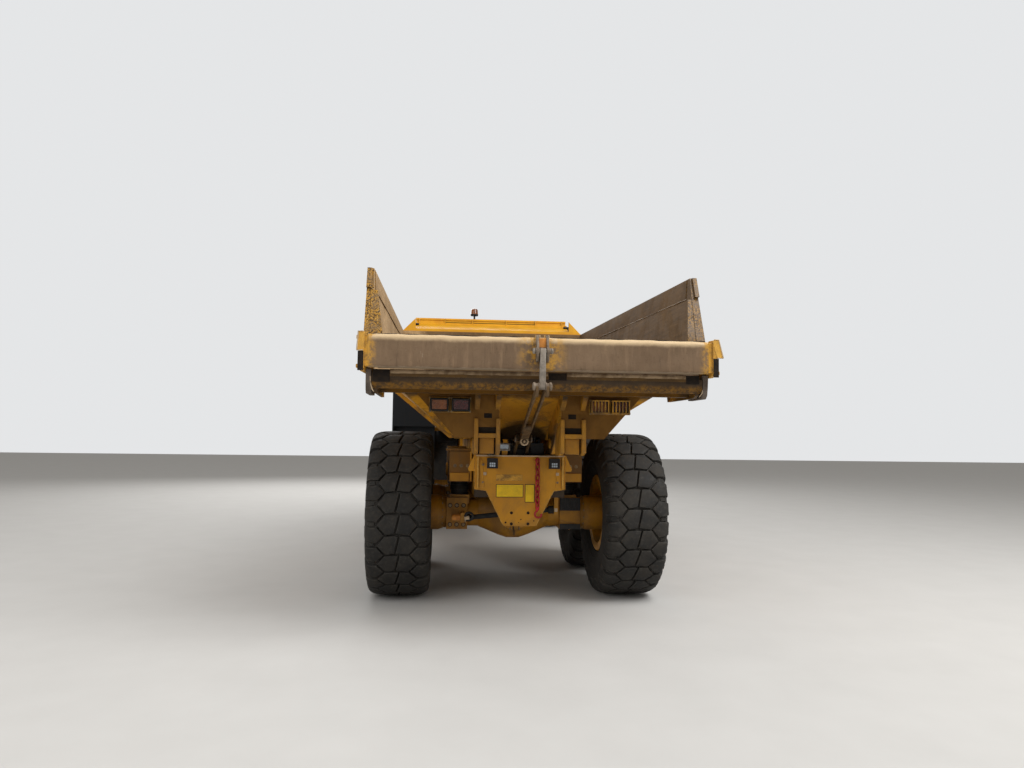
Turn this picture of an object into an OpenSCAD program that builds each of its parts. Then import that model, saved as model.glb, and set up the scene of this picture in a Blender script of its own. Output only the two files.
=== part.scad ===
// Articulated dump truck of the 28 tonne class, millimetres.
// +X is forward, +Y is left, +Z is up; the origin is on the ground under the middle of the machine.

/* [Stance] */
// Front axle to middle axle
wheelbase = 4175; // [4000:5:4350]
// Middle axle to rear axle
bogie_spacing = 1670; // [1650:5:1720]
// Front axle to the vertical steering pin behind it
hitch_back = 1210; // [1180:5:1260]
// Front axle to the front face of the bumper
front_overhang = 2650; // [2620:5:2800]
// Rear axle to the rearmost edge of the tailgate ears
rear_overhang = 2220; // [2200:5:2300]
// Track, wheel centre to wheel centre
track = 2216; // [2190:2:2260]

/* [Wheels] */
// Tyre diameter over the lug tips
tyre_d = 1600; // [1560:2:1610]
// Tyre width over the side walls
tyre_w = 600; // [560:2:620]
// Diameter of the rim flange
rim_flange_d = 762; // [740:2:780]
// Diameter of the bead seat
bead_d = 635; // [620:1:650]
// Width over the rim flanges
rim_w = 495; // [460:1:510]
// Thickness of a rim flange
flange_t = 25; // [18:1:32]

/* [Load body] */
// Width outside the side walls at the top
body_w = 2620; // [2560:2:2660]
// Thickness of the side walls
side_t = 22; // [14:1:30]
// Thickness of the floor
floor_t = 30; // [20:1:40]
// Height of the flat floor's underside
floor_z = 1530; // [1525:1:1560]
// Height of the top edge at the rear
top_rear_z = 2880; // [2820:5:2920]
// Height of the top edge at the headboard
top_front_z = 3060; // [3000:5:3120]
// Height of the spill guard over the cab's rear
guard_z = 3295; // [3250:5:3340]
// Depth of the rail along the top edge
rail_h = 170; // [120:5:200]
// Height of the tip pivot
tip_z = 1500; // [1490:1:1510]
// Rear axle to the tip pivot
tip_back = 900; // [880:5:920]
// Radius of the tip pins
tip_pin_r = 45; // [38:1:50]

/* [Tailgate] */
// Height of the tailgate's face
gate_h = 250; // [220:5:280]
// Height of the tailgate's lower edge
gate_z = 2050; // [2045:1:2070]
// Height of the tailgate arms' pivots
gate_pivot_z = 2130; // [2120:1:2150]
// Rear axle to the tailgate arms' pivots
gate_pivot_back = 850; // [820:5:880]

/* [Frames] */
// Distance between the outer faces of the rear frame rails
rail_span = 830; // [800:2:840]
// Thickness of a rear frame rail
rail_t = 115; // [90:1:125]
// Height of the top of the rear frame rails
rail_top_z = 1400; // [1390:1:1402]
// Height of the hitch's roll axis
roll_z = 870; // [860:1:890]
// Radius of the hitch's roll tube
roll_r = 160; // [140:1:170]
// Distance between the outer faces of the front frame rails
front_span = 800; // [780:2:840]
// Thickness of a front frame rail
front_rail_t = 100; // [80:1:110]

/* [Cab and hood] */
// Width of the cab
cab_w = 1560; // [1500:5:1580]
// Height of the cab roof
cab_top_z = 3318; // [3280:2:3360]
// Height of the cab's underside
cab_base_z = 1700; // [1698:1:1720]
// Thickness of the cab walls and door
cab_t = 60; // [50:1:70]
// Width of the hood at its rear edge
hood_w = 1300; // [1240:5:1340]
// Thickness of the hood's shell
hood_t = 36; // [25:1:45]
// Width over the front fenders
fender_w = 3000; // [2960:5:3040]

/* [Hydraulics] */
// Radius of a hoist barrel
hoist_r = 78; // [70:1:80]
// Radius of a hoist rod
hoist_rod_r = 44; // [36:1:50]
// Radius of a steering barrel
steer_r = 50; // [42:1:55]
// Radius of a steering rod
steer_rod_r = 26; // [22:1:32]

/* [Clearances] */
// Gap round a pin or shaft that turns in its bore
run_gap = 0.3; // [0.2:0.05:0.5]
// Gap between a moving piece and what it passes
move_gap = 8; // [6:1:10]

/* [Hidden] */
$fn = 48;

length = front_overhang + wheelbase + bogie_spacing + rear_overhang;
x_nose = length / 2;
x_front = x_nose - front_overhang;
x_mid = x_front - wheelbase;
x_rear = x_mid - bogie_spacing;
x_hitch = x_front - hitch_back;
axle_z = tyre_d / 2;
wheel_y = track / 2;

paint = [0.86, 0.58, 0.10];
worn = [0.52, 0.45, 0.36];
slate = [0.16, 0.20, 0.25];
dark = [0.10, 0.10, 0.11];
steel = [0.70, 0.70, 0.70];

// A box given by its two corners
module slab(x0, x1, y0, y1, z0, z1) {
    translate([x0, y0, z0]) cube([x1 - x0, y1 - y0, z1 - z0]);
}

// The same piece on the left and on the right
module both_sides() {
    children();
    mirror([0, 1, 0]) children();
}

// A plate with an outline in X and Z, from y0 to y1
module side_plate(outline, y0, y1) {
    translate([0, y1, 0]) rotate([90, 0, 0]) linear_extrude(y1 - y0) polygon(outline);
}

// A plate with an outline in Y and Z, from x0 to x1
module cross_plate(outline, x0, x1) {
    translate([x0, 0, 0]) rotate([90, 0, 90]) linear_extrude(x1 - x0) polygon(outline);
}

// A round bar along Y
module y_bar(x, z, r, y0, y1) {
    translate([x, y1, z]) rotate([90, 0, 0]) cylinder(h = y1 - y0, r = r);
}

// A round bar from one point to another
module bar_between(a, b, r) {
    v = b - a;
    translate(a) rotate([0, acos(v[2] / norm(v)), atan2(v[1], v[0])]) cylinder(h = norm(v), r = r);
}

// A plate in X and Z with a round end of radius r at each of two points
function unit(a, b) = (b - a) / norm(b - a);
function side_of(a, b, r) = let (u = unit(a, b)) [-u[1] * r, u[0] * r];
module bar_plate(a, b, ra, rb, y0, y1) {
    side_plate([a + side_of(a, b, ra), a - side_of(a, b, ra),
                b - side_of(a, b, rb), b + side_of(a, b, rb)], y0, y1);
    y_bar(a[0], a[1], ra, y0, y1);
    y_bar(b[0], b[1], rb, y0, y1);
}

// A solid through sections that have the same even count of points, in matching pairs left and right
module loft(sections) {
    count = len(sections[0]);
    last = len(sections) - 1;
    points = [for (s = sections) for (p = s) p];
    sides = [for (i = [0 : last - 1]) for (j = [0 : count - 1])
        [i * count + j, i * count + (j + 1) % count,
         (i + 1) * count + (j + 1) % count, (i + 1) * count + j]];
    cap = [for (j = [0 : count / 2 - 2]) [j, count - 1 - j, count - 2 - j, j + 1]];
    end = [for (q = cap) [for (k = [3 : -1 : 0]) q[k] + last * count]];
    polyhedron(points, [for (q = concat(sides, cap, end)) each [[q[0], q[1], q[2]], [q[0], q[2], q[3]]]]);
}

// Wheels

tyre_r = tyre_d / 2;
tyre_half = tyre_w / 2;
flange_r = rim_flange_d / 2;
bead_r = bead_d / 2;
rim_half = rim_w / 2;

// Shoulder lugs round the tyre, and how much of a pitch a lug takes
pitches = 26;
lug_share = 0.62;
lug_turn = 360 / pitches * lug_share / 2;
groove_turn = 360 / pitches / 2;
// Corner circles are drawn out so that the flats reach the stated radii
flat = 1 / cos(lug_turn);
wide_flat = 1 / cos(groove_turn);

// Rings from the rib's edge over the left shoulder to the bore, as [radius, distance from the middle plane].
// The first three have two points a pitch, the others have one
shoulder_rings = [[tyre_r * flat, tyre_half * 0.37], [(tyre_r - 8) * flat, tyre_half - 82], [tyre_r * 0.88, tyre_half]];
side_rings = [
    [(flange_r + 10) * wide_flat, rim_half + 5],
    [(flange_r + run_gap) * wide_flat, rim_half - flange_t - run_gap],
    [(bead_r + run_gap) * wide_flat, rim_half - flange_t - run_gap]
];

function on_ring(ring, side, angle) = [ring[0] * cos(angle), side * ring[1], ring[0] * sin(angle)];

// Points of one side: for each pitch the three shoulder rings at the lug's two ends, then the side rings once
function side_points(side) = [for (k = [0 : pitches - 1]) each concat(
    [for (e = [-1, 1], ring = shoulder_rings) on_ring(ring, side, k * 360 / pitches + e * lug_turn)],
    [for (ring = side_rings) on_ring(ring, side, k * 360 / pitches + groove_turn)])];

// Triangles of one side of a pitch. Its points are 0 1 2, the rib edge, crown and shoulder at the lug's start,
// 3 4 5, the same at its end, and 6 7 8, the side rings
lug_faces = [
    [0, 3, 4], [0, 4, 1], [1, 4, 5], [1, 5, 2], [3, 5, 4], [0, 1, 2],
    [3, 9, 11], [3, 11, 5], [2, 5, 6], [5, 11, 6], [11, 15, 6],
    [6, 15, 16], [6, 16, 7], [7, 16, 17], [7, 17, 8]
];

function turned(f, flip) = flip ? [f[2], f[1], f[0]] : f;

module tyre() {
    count = 9 * pitches;
    // Points past the pitch belong to the next one: 9 to 11 its start, 15 to 17 its side rings
    faces = [for (side = [0, 1], k = [0 : pitches - 1], f = lug_faces)
        turned([for (i = f) side * count + (9 * k + i) % count], side == 1)];
    across = [for (k = [0 : pitches - 1], q = [[0, 3], [3, 9], [17, 8]])
        let (a = (9 * k + q[0]) % count, b = (9 * k + q[1]) % count)
        each [[a, count + a, count + b], [a, count + b, b]]];
    color(dark) polyhedron(concat(side_points(1), side_points(-1)), concat(faces, across));
}

disc_in = 40;
disc_out = 72;
hub_in = -20;
hub_r = 215;
spindle_r = 121;
spindle_end = 30;
barrel_r = 290;

// Rim, disc and hub drive in one, local +Y outboard
module rim() {
    outline = [
        [0, 248], [120, 248], [140, 226], [192, 214], [hub_r - 6, disc_out + 20],
        [hub_r, disc_out], [barrel_r - 14, disc_out], [barrel_r, disc_out + 16], [barrel_r + 14, rim_half],
        [flange_r, rim_half], [flange_r, rim_half - flange_t], [bead_r, rim_half - flange_t],
        [bead_r, flange_t - rim_half], [flange_r, flange_t - rim_half], [flange_r, -rim_half],
        [barrel_r + 14, -rim_half], [barrel_r, disc_in - 16], [barrel_r - 14, disc_in],
        [hub_r, disc_in], [hub_r, hub_in], [spindle_r, hub_in], [spindle_r, spindle_end], [0, spindle_end]
    ];
    color(paint) rotate([-90, 0, 0]) rotate_extrude() polygon(outline);
}

module wheel_at(x, left) {
    translate([x, left ? wheel_y : -wheel_y, axle_z])
        mirror([0, left ? 0 : 1, 0]) children();
}

// Axles

diff_r = 250;
tube_r = 135;
brake_r = 172;
brake_in = 745;
pad_y = 535;
pad_half = 95;
pad_top = axle_z + 180;
clamp_x = 160;
clamp_y0 = 458;
clamp_y1 = 662;
clamp_z = 152;

// Axle housing along Y, with the hub spindles at its ends
module axle_housing(pad_y, pad_top) {
    end = wheel_y + hub_in - 6;
    half = [
        [0, diff_r], [60, diff_r], [150, diff_r - 30], [340, tube_r + 6], [350, tube_r],
        [640, tube_r], [670, tube_r + 18], [brake_in - 40, tube_r + 18],
        [brake_in - 40, 160], [brake_in, brake_r], [end, brake_r], [end, spindle_r - run_gap],
        [wheel_y + spindle_end - 6, spindle_r - run_gap], [wheel_y + spindle_end - 6, 0]
    ];
    outline = concat([for (p = half) [p[1], p[0]]],
        [for (i = [len(half) - 1 : -1 : 0]) [half[i][1], -half[i][0]]]);
    translate([0, 0, axle_z]) {
        rotate([-90, 0, 0]) rotate_extrude() polygon(outline);
        rotate([0, 90, 0]) cylinder(h = 400, r = 118);
        translate([390, 0, 0]) rotate([0, 90, 0]) cylinder(h = 30, r = 90);
    }
    both_sides() slab(-120, 120, pad_y - pad_half, pad_y + pad_half, axle_z + tube_r - 45, pad_top);
}

module bogie_axles() {
    color(paint) {
        translate([x_rear, 0, 0]) axle_housing(pad_y, pad_top);
        translate([x_mid, 0, 0]) axle_housing(pad_y, pad_top);
        // Clamps under the rubber springs
        for (x = [x_rear, x_mid])
            both_sides() slab(x - clamp_x, x + clamp_x, clamp_y0, clamp_y1, axle_z - clamp_z, axle_z + clamp_z);
        translate([x_rear + 420 + run_gap, 0, axle_z]) rotate([0, 90, 0])
            cylinder(h = bogie_spacing - 420 - diff_r - 2 * run_gap, r = 48);
        // Lug of the cross stay, and its pin
        slab(stay_x - 40, x_rear - 100, stay_y1, stay_y1 + 40, stay_z1 - 45, stay_z1 + 45);
        y_bar(stay_x, stay_z1, 27, stay_y1 + 35, stay_y1 + 125);
    }
}

module front_axle() {
    color(paint) translate([x_front, 0, 0]) axle_housing(front_span / 2 - 50, front_rail_z);
}

// Rear frame

x_tip = x_rear - tip_back;
x_plate = x_rear - 720;
plate_t = 30;
rail_out = rail_span / 2;
rail_in = rail_out - rail_t;
block_front = x_hitch - 220;
block_rear = x_hitch - 620;
block_z0 = 640;
block_z1 = 1100;
x_hoist = x_rear + 2600;
z_hoist = 920;
hoist_y = 200;
beam_mid = (x_rear + x_mid) / 2;
beam_z = 1190;
beam_in = 425;
beam_out = 645;
ball_x = x_rear - 950;
ball_z = 1540;

module rear_rail() {
    side_plate([
        [x_plate + plate_t, rail_top_z], [x_plate + plate_t, 1000], [x_rear + 2700, 1000],
        [x_rear + 3400, 760], [block_rear + 60, block_z0 + 40], [block_front - 100, block_z0 + 40],
        [block_front - 100, block_z1 - 20], [block_rear, block_z1], [x_rear + 3450, 1330],
        [x_rear + 3100, rail_top_z]
    ], rail_in, rail_out);
    // Post that holds the tip pin
    side_plate([
        [x_plate + 420, rail_top_z - 10], [x_plate + 420, rail_top_z], [x_plate + 150, rail_top_z],
        [x_plate + 60, tip_z + 30], [x_tip, tip_z + 92], [x_tip, tip_z - 92], [x_plate - 5, plate_top + run_gap]
    ], rail_in + 12, rail_out - 12);
    y_bar(x_tip, tip_z, 96, rail_in + 12, rail_out - 12);
    y_bar(x_tip, tip_z, tip_pin_r, ear_in - 12, ear_out + 12);
    // Shaft that carries the bogie beam
    y_bar(beam_mid, beam_z, 70, rail_in, beam_out + 20);
    // Stop that the load body rests on
    slab(x_rear + 2900, x_rear + 3060, rail_in, rail_out, rail_top_z - 10, body_beam_z - 0.4);
}

module rear_frame() {
    color(paint) {
        both_sides() rear_rail();
        difference() {
            slab(block_rear, block_front, -rail_out, rail_out, block_z0, block_z1);
            translate([block_rear - 10, 0, roll_z]) rotate([0, 90, 0])
                cylinder(h = block_front - block_rear + 20, r = roll_r + run_gap);
        }
        // Cross tubes between the rails
        y_bar(x_rear + 620, 1060, 55, -rail_in - 5, rail_in + 5);
        y_bar(x_rear + 3300, 1180, 60, -rail_in - 5, rail_in + 5);
        y_bar(x_hoist, z_hoist, 52, -rail_in - 20, rail_in + 20);
        both_sides() slab(x_hoist - 90, x_hoist + 90, rail_in + 10, rail_out - 10, z_hoist - 90, 1010);
        // Tail behind the rear axle
        slab(x_plate + plate_t, x_plate + 150, -rail_in - 5, rail_in + 5, 1290, 1350);
        slab(x_plate + plate_t, x_plate + 150, -rail_in - 5, rail_in + 5, 1005, 1060);
        side_plate([[x_plate + plate_t, 1010], [x_plate + plate_t, 760], [x_plate + 80, 760],
                    [x_plate + 330, 1000], [x_plate + 150, 1050]], -14, 14);
        // Bracket of the gate rod
        both_sides() side_plate([
            [x_plate + 150, 1345], [x_plate + plate_t, 1345], [x_plate + plate_t, 1392],
            [ball_x - 45, ball_z - 20], [ball_x - 30, ball_z + 40], [ball_x + 40, ball_z + 45]
        ], 42, 66);
        y_bar(ball_x, ball_z, 22, -66, 66);
        // Lug of the cross stay
        slab(stay_x - 40, stay_x + 40, -rail_out, stay_y0, stay_z0 - 45, 1010);
    }
}

// Towing plate at the rear end
hook_dy = 153;
hook_dz = 100;
hook_z = 812;
hook_hole_r = 14;
plate_top = rail_top_z - 14;

module rear_plate() {
    outline = [
        [-405, plate_top], [-420, 1370], [-420, 1075], [-312, 1060], [-150, 742], [150, 742],
        [312, 1060], [420, 1075], [420, 1370], [405, plate_top]
    ];
    color(paint) difference() {
        union() {
            cross_plate(outline, x_plate, x_plate + plate_t);
            // Folded top edge and side ribs
            slab(x_plate - 22, x_plate + 5, -404, 404, plate_top - 13, plate_top - 1);
            both_sides() slab(x_plate - 26, x_plate + 5, 384, 398, 1086, plate_top - 7);
            // Housings of the two small work lamps
            for (y = [260, -310])
                slab(x_plate - 52, x_plate + 5, y - 48, y + 48, 1268, 1358);
            // Work lamp on the top edge
            slab(x_plate + 8, x_plate + 20, 120, 170, plate_top - 10, 1440);
            slab(x_plate - 5, x_plate + 50, 97, 193, 1430, 1496);
        }
        for (y = [-1, 1], z = [-1, 1])
            translate([x_plate - 5, y * hook_dy / 2, hook_z + z * hook_dz / 2])
                rotate([0, 90, 0]) cylinder(h = plate_t + 10, r = hook_hole_r);
    }
}

// Bogie beams and suspension

beam_bottom = 1120;
beam_top = 1430;
stay_x = x_rear - 300;
stay_z0 = 853;
stay_z1 = 775;
stay_y0 = 40 - rail_out;
stay_y1 = 488;
eye_w = 52;

module bogie_beam() {
    difference() {
        side_plate([
            [x_rear - 330, beam_top - 20], [x_rear - 330, beam_bottom], [x_rear + 240, beam_bottom],
            [beam_mid - 260, beam_bottom - 60], [beam_mid, beam_bottom - 90], [beam_mid + 260, beam_bottom - 60],
            [x_mid - 240, beam_bottom], [x_mid + 330, beam_bottom], [x_mid + 330, beam_top - 20],
            [x_mid + 270, beam_top], [x_mid - 200, beam_top], [beam_mid + 200, beam_top - 100],
            [beam_mid - 200, beam_top - 100], [x_rear + 200, beam_top], [x_rear - 270, beam_top]
        ], beam_in, beam_out);
        y_bar(beam_mid, beam_z, 70 + run_gap, beam_in - 5, beam_out + 5);
    }
}

module bogie_beams() {
    color(paint) both_sides() {
        bogie_beam();
        // Top flange of the rear end
        slab(x_rear - 338, x_rear - 150, beam_in - 6, beam_out + 32, beam_top - 14, beam_top + 6);
    }
}

module suspension() {
    color(dark) {
        for (x = [x_rear, x_mid])
            both_sides() for (z = [0 : 2])
                translate([x, pad_y, pad_top + z * (beam_bottom - pad_top) / 3])
                    cylinder(h = (beam_bottom - pad_top) / 3, r = z == 1 ? 92 : 84);
        // Stay across the frame behind the rear axle
        y_bar(stay_x, stay_z0, 38, stay_y0 + run_gap, stay_y0 + eye_w);
        y_bar(stay_x, stay_z1, 38, stay_y1 - eye_w, stay_y1 - run_gap);
        bar_between([stay_x, stay_y0 + eye_w - 10, stay_z0], [stay_x, stay_y1 - eye_w + 10, stay_z1], 24);
    }
}

// Hitch

fork_r = 190;
column_r = 130;
column_z0 = 600;
column_z1 = 1140;
fork_pin_r = 70;
steer_arm_y = 300;
steer_front_x = x_hitch + 950;
steer_front_y = 360;
eye_half = 35;
steer_pin_r = 20;

module hitch_yoke() {
    color(paint) {
        difference() {
            union() {
                translate([x_hitch, 0, column_z0]) cylinder(h = column_z1 - column_z0, r = column_r);
                both_sides() {
                    for (z = [-1, 1])
                        translate([0, 0, z * (eye_half + 17)]) steer_arm();
                }
            }
            translate([x_hitch, 0, column_z0 - 10])
                cylinder(h = 90, r = fork_pin_r + run_gap);
            translate([x_hitch, 0, column_z1 - 80])
                cylinder(h = 90, r = fork_pin_r + run_gap);
        }
        translate([block_rear - 40, 0, roll_z]) rotate([0, 90, 0])
            cylinder(h = x_hitch - block_rear + 20, r = roll_r);
        translate([block_front + 5, 0, roll_z]) rotate([0, 90, 0]) cylinder(h = 60, r = roll_r + 50);
    }
}

// One plate of the arm that takes a steering rod's eye
module steer_arm() {
    translate([x_hitch, 0, roll_z - 12]) {
        linear_extrude(24) union() {
            polygon([[-90, 0], [90, 0], [45, steer_arm_y], [-45, steer_arm_y]]);
            translate([0, steer_arm_y]) circle(r = 48);
        }
    }
}

// Front frame

front_rail_z = 980;
front_rail_top = 1250;
front_rail_out = front_span / 2;
front_rail_in = front_rail_out - front_rail_t;
fork_z0 = 535;
fork_z1 = 1205;
fork_t = 58;

module fork_plate(z0, pin_z0, pin_z1) {
    translate([x_hitch, 0, z0]) linear_extrude(fork_t) union() {
        circle(r = fork_r);
        translate([0, -fork_r]) square([360, 2 * fork_r]);
    }
    translate([x_hitch, 0, pin_z0]) cylinder(h = pin_z1 - pin_z0, r = fork_pin_r);
}

module front_frame() {
    color(paint) {
        fork_plate(fork_z0, fork_z0 + 10, column_z0 + 72);
        fork_plate(fork_z1 - fork_t, column_z1 - 72, fork_z1 - 10);
        slab(x_hitch + 335, x_hitch + 560, -fork_r, fork_r, fork_z0, fork_z1);
        both_sides() {
            side_plate([
                [x_hitch + 330, front_rail_z], [x_front + front_overhang - 300, front_rail_z],
                [x_front + front_overhang - 300, front_rail_top - 60], [x_front + 2100, front_rail_top],
                [x_hitch + 420, front_rail_top], [x_hitch + 330, front_rail_top - 60]
            ], front_rail_in, front_rail_out);
            // Cab posts
            for (x = [x_front - 760, x_front + 300])
                slab(x, x + 130, front_rail_in, front_rail_out, front_rail_top - 5, cab_base_z - run_gap);
            // Outriggers that carry the fenders
            for (x = [x_front - 720, x_front + 330])
                slab(x, x + 80, front_rail_out - 10, fender_w / 2 - 40, outrigger_z, cab_base_z - run_gap);
            // Bracket of the steering barrel
            for (z = [-1, 1])
                translate([0, 0, z * (eye_half + 17)]) steer_bracket();
            translate([steer_front_x, steer_front_y, roll_z - eye_half - 24])
                cylinder(h = 2 * eye_half + 48, r = steer_pin_r);
            slab(steer_front_x + 62, steer_front_x + 95, front_rail_in, front_rail_out + 30,
                roll_z - 64, front_rail_z + 5);
            // Lug of the hood hinge
            side_plate([
                [hood_x - 70, front_rail_top - 110], [hood_x + 30, front_rail_top - 110],
                [hood_x + 30, hood_hinge_z + 20], [hood_x, hood_hinge_z + 34], [hood_x - 30, hood_hinge_z + 20]
            ], front_rail_in + 20, front_rail_out - 40);
            y_bar(hood_x, hood_hinge_z, 16 - run_gap, front_rail_in + 30, front_rail_out);
        }
        // Cross members
        slab(x_hitch + 400, x_hitch + 560, -front_rail_in - 5, front_rail_in + 5, 1040, 1190);
        slab(x_front + 1200, x_front + 1320, -front_rail_in - 5, front_rail_in + 5, 1000, engine_z - run_gap);
        slab(x_nose - 420, x_nose - 300, -front_rail_in - 5, front_rail_in + 5, 990, 1180);
    }
}

module steer_bracket() {
    translate([0, 0, roll_z - 12]) linear_extrude(24) union() {
        translate([steer_front_x, steer_front_y]) circle(r = 48);
        translate([steer_front_x, steer_front_y - 48]) square([80, 96]);
    }
}

outrigger_z = cab_base_z - 68;
hood_x = x_nose - 370;
hood_hinge_z = 1310;

module bumper() {
    outline = [
        [x_nose - 300, -1150], [x_nose - 120, -1150], [x_nose, -760], [x_nose, 760],
        [x_nose - 120, 1150], [x_nose - 300, 1150]
    ];
    color(slate) difference() {
        translate([0, 0, 600]) linear_extrude(460) polygon(outline);
        // Pocket of the front tow pin
        slab(x_nose - 160, x_nose + 10, -110, 110, 690, 790);
        translate([x_nose - 75, 0, 590]) cylinder(h = 480, r = tow_pin_r);
    }
}

tow_pin_r = 26;
engine_z = 1090;

module engine() {
    color(steel) {
        slab(hood_rear + 20, hood_rear + 1060, -260, 260, engine_z, 1880);
        slab(x_front + 1900, x_front + 2040, -500, 500, front_rail_top + run_gap, 1930);
    }
}

// Hood, closed round the engine and open below and behind

hood_rear = x_front + 600;
hood_front = x_nose - 150;
hood_z = 1300;
hood_top = 2400;

module hood_solid(i) {
    w = hood_w / 2 - i;
    intersection() {
        side_plate([
            [hood_rear - i, hood_z - i], [hood_front - i, hood_z - i], [hood_front + 20 - i, hood_z + 40],
            [hood_front - i, 1980], [hood_front - 90 - i, 2060 - i], [hood_front - 700, 2200 - i],
            [hood_rear - i, hood_top - i]
        ], -w - 10, w + 10);
        translate([0, 0, hood_z - 60]) linear_extrude(1200)
            polygon([[hood_rear - 60, -w], [hood_front - 300, -w + 60], [hood_front + 30, -w + 170],
                     [hood_front + 30, w - 170], [hood_front - 300, w - 60], [hood_rear - 60, w]]);
        translate([hood_rear - 60, 0, 0]) rotate([90, 0, 90]) linear_extrude(2100)
            polygon([[-w - 1, hood_z - 70], [w + 1, hood_z - 70], [w + 1, hood_top - 360], [w - 40, hood_top - 240],
                     [w - 150, hood_top + 20], [-w + 150, hood_top + 20],
                     [-w + 40, hood_top - 240], [-w - 1, hood_top - 360]]);
    }
}

grille_half = 380;
grille_z0 = 1400;
grille_z1 = 1900;

module hood() {
    color(paint) {
        difference() {
            hood_solid(0);
            hood_solid(hood_t);
            slab(hood_front - 200, hood_front + 60, -grille_half, grille_half, grille_z0, grille_z1);
        }
        both_sides() difference() {
            slab(hood_x - 40, hood_x + 30, front_rail_out - 38, front_rail_out - 8, hood_hinge_z - 32, hood_z + 200);
            y_bar(hood_x, hood_hinge_z, 16, front_rail_out - 60, front_rail_out);
        }
        both_sides() slab(hood_x - 40, hood_x + 30, front_rail_out - 38, hood_w / 2 - 100,
            hood_z + 150, hood_z + 200);
    }
}

module grille() {
    color(dark) {
        difference() {
            slab(hood_front - 70, hood_front - 5, -grille_half + run_gap, grille_half - run_gap,
                grille_z0 + run_gap, grille_z1 - run_gap);
            slab(hood_front - 80, hood_front + 5, -grille_half + 26, grille_half - 26, grille_z0 + 26, grille_z1 - 26);
        }
        for (i = [0 : 6])
            translate([hood_front - 60, -grille_half + 20, grille_z0 + 52 + i * 64])
                rotate([0, -20, 0]) cube([46, 2 * grille_half - 40, 12]);
    }
}

// Cab

cab_rear = x_front - 1110;
cab_front = x_front + 560;
cab_half = cab_w / 2;
screen_z = 2350;
door_x0 = x_front - 590;
door_x1 = x_front + 250;
door_z0 = 1800;
door_z1 = 3170;

module cab_solid(i) {
    intersection() {
        side_plate([
            [cab_rear + i, cab_base_z + i], [cab_front - i, cab_base_z + i], [cab_front - i, screen_z],
            [cab_front - 230 - i, cab_top_z - 68], [cab_front - 310 - i, cab_top_z - i],
            [cab_rear + 70 + i, cab_top_z - i], [cab_rear + i, cab_top_z - 78]
        ], -cab_half, cab_half);
        translate([cab_rear - 10, 0, 0]) rotate([90, 0, 90]) linear_extrude(cab_front - cab_rear + 20)
            polygon([
                [-cab_half + i, cab_base_z], [cab_half - i, cab_base_z], [cab_half - i, cab_top_z - 130],
                [cab_half - 80 - i, cab_top_z], [-cab_half + 80 + i, cab_top_z], [-cab_half + i, cab_top_z - 130]
            ]);
    }
}

// Windows, each smaller by g all round
module side_window(x0, x1, z0, z1, left, g) {
    y0 = left ? cab_half - 100 : -cab_half - 50;
    slab(x0 + g, x1 - g, y0, y0 + 150, z0 + g, z1 - g);
}

module cab_windows(g) {
    slab(cab_front - 400, cab_front + 50, -cab_half + 90 + g, cab_half - 90 - g, screen_z + 60 + g, cab_top_z - 130 - g);
    slab(cab_rear - 50, cab_rear + 100, -cab_half + 140 + g, cab_half - 140 - g, 2250 + g, cab_top_z - 150 - g);
    side_window(cab_rear + 100, door_x0 - 60, 2260, 3120, true, g);
    side_window(cab_rear + 100, door_x0 - 60, 2260, 3120, false, g);
    side_window(door_x0, door_x1 - 10, 2240, 3120, false, g);
}

module door_window(g) {
    side_window(door_x0 + 80, door_x1 - 70, 2150, 3100, true, g);
}

hinge_x = door_x0 + 4;
hinge_y = cab_half + 16;
hinge_zs = [door_z0 + 180, door_z1 - 420];
knuckle_h = 70;

module cab_shell() {
    color(slate) {
        difference() {
            cab_solid(0);
            cab_solid(cab_t);
            cab_windows(0);
            slab(door_x0, door_x1, cab_half - cab_t - 20, cab_half + 20, door_z0, door_z1);
        }
        // Hinge pins of the door, each with a knuckle above and below
        for (z = hinge_zs) {
            translate([hinge_x, hinge_y, z - 25]) cylinder(h = knuckle_h + 50, r = 8);
            for (k = [z - 25, z + knuckle_h + 1])
                translate([hinge_x, hinge_y, k]) cylinder(h = 24, r = 14);
            for (k = [z - 25, z + knuckle_h + 1])
                slab(hinge_x - 50, hinge_x, cab_half - 4, hinge_y, k, k + 24);
        }
    }
}

module pane() {
    intersection() {
        difference() {
            cab_solid(25);
            cab_solid(34);
        }
        children();
    }
}

module cab_glass() {
    color([0.25, 0.32, 0.36]) pane() cab_windows(run_gap);
}

module door_glass() {
    color([0.25, 0.32, 0.36]) pane() door_window(run_gap);
}

module cab_door() {
    g = move_gap;
    color(slate) difference() {
        intersection() {
            difference() {
                cab_solid(0);
                cab_solid(cab_t);
            }
            slab(door_x0 + g, door_x1 - g, cab_half - cab_t - 20, cab_half + 20, door_z0 + g, door_z1 - g);
        }
        door_window(0);
    }
    color(slate) for (z = hinge_zs) difference() {
        union() {
            translate([hinge_x, hinge_y, z]) cylinder(h = knuckle_h, r = 14);
            slab(hinge_x, hinge_x + 70, cab_half - 4, hinge_y - 4, z, z + knuckle_h);
        }
        translate([hinge_x, hinge_y, z - 5]) cylinder(h = knuckle_h + 10, r = 8 + run_gap);
    }
}

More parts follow.
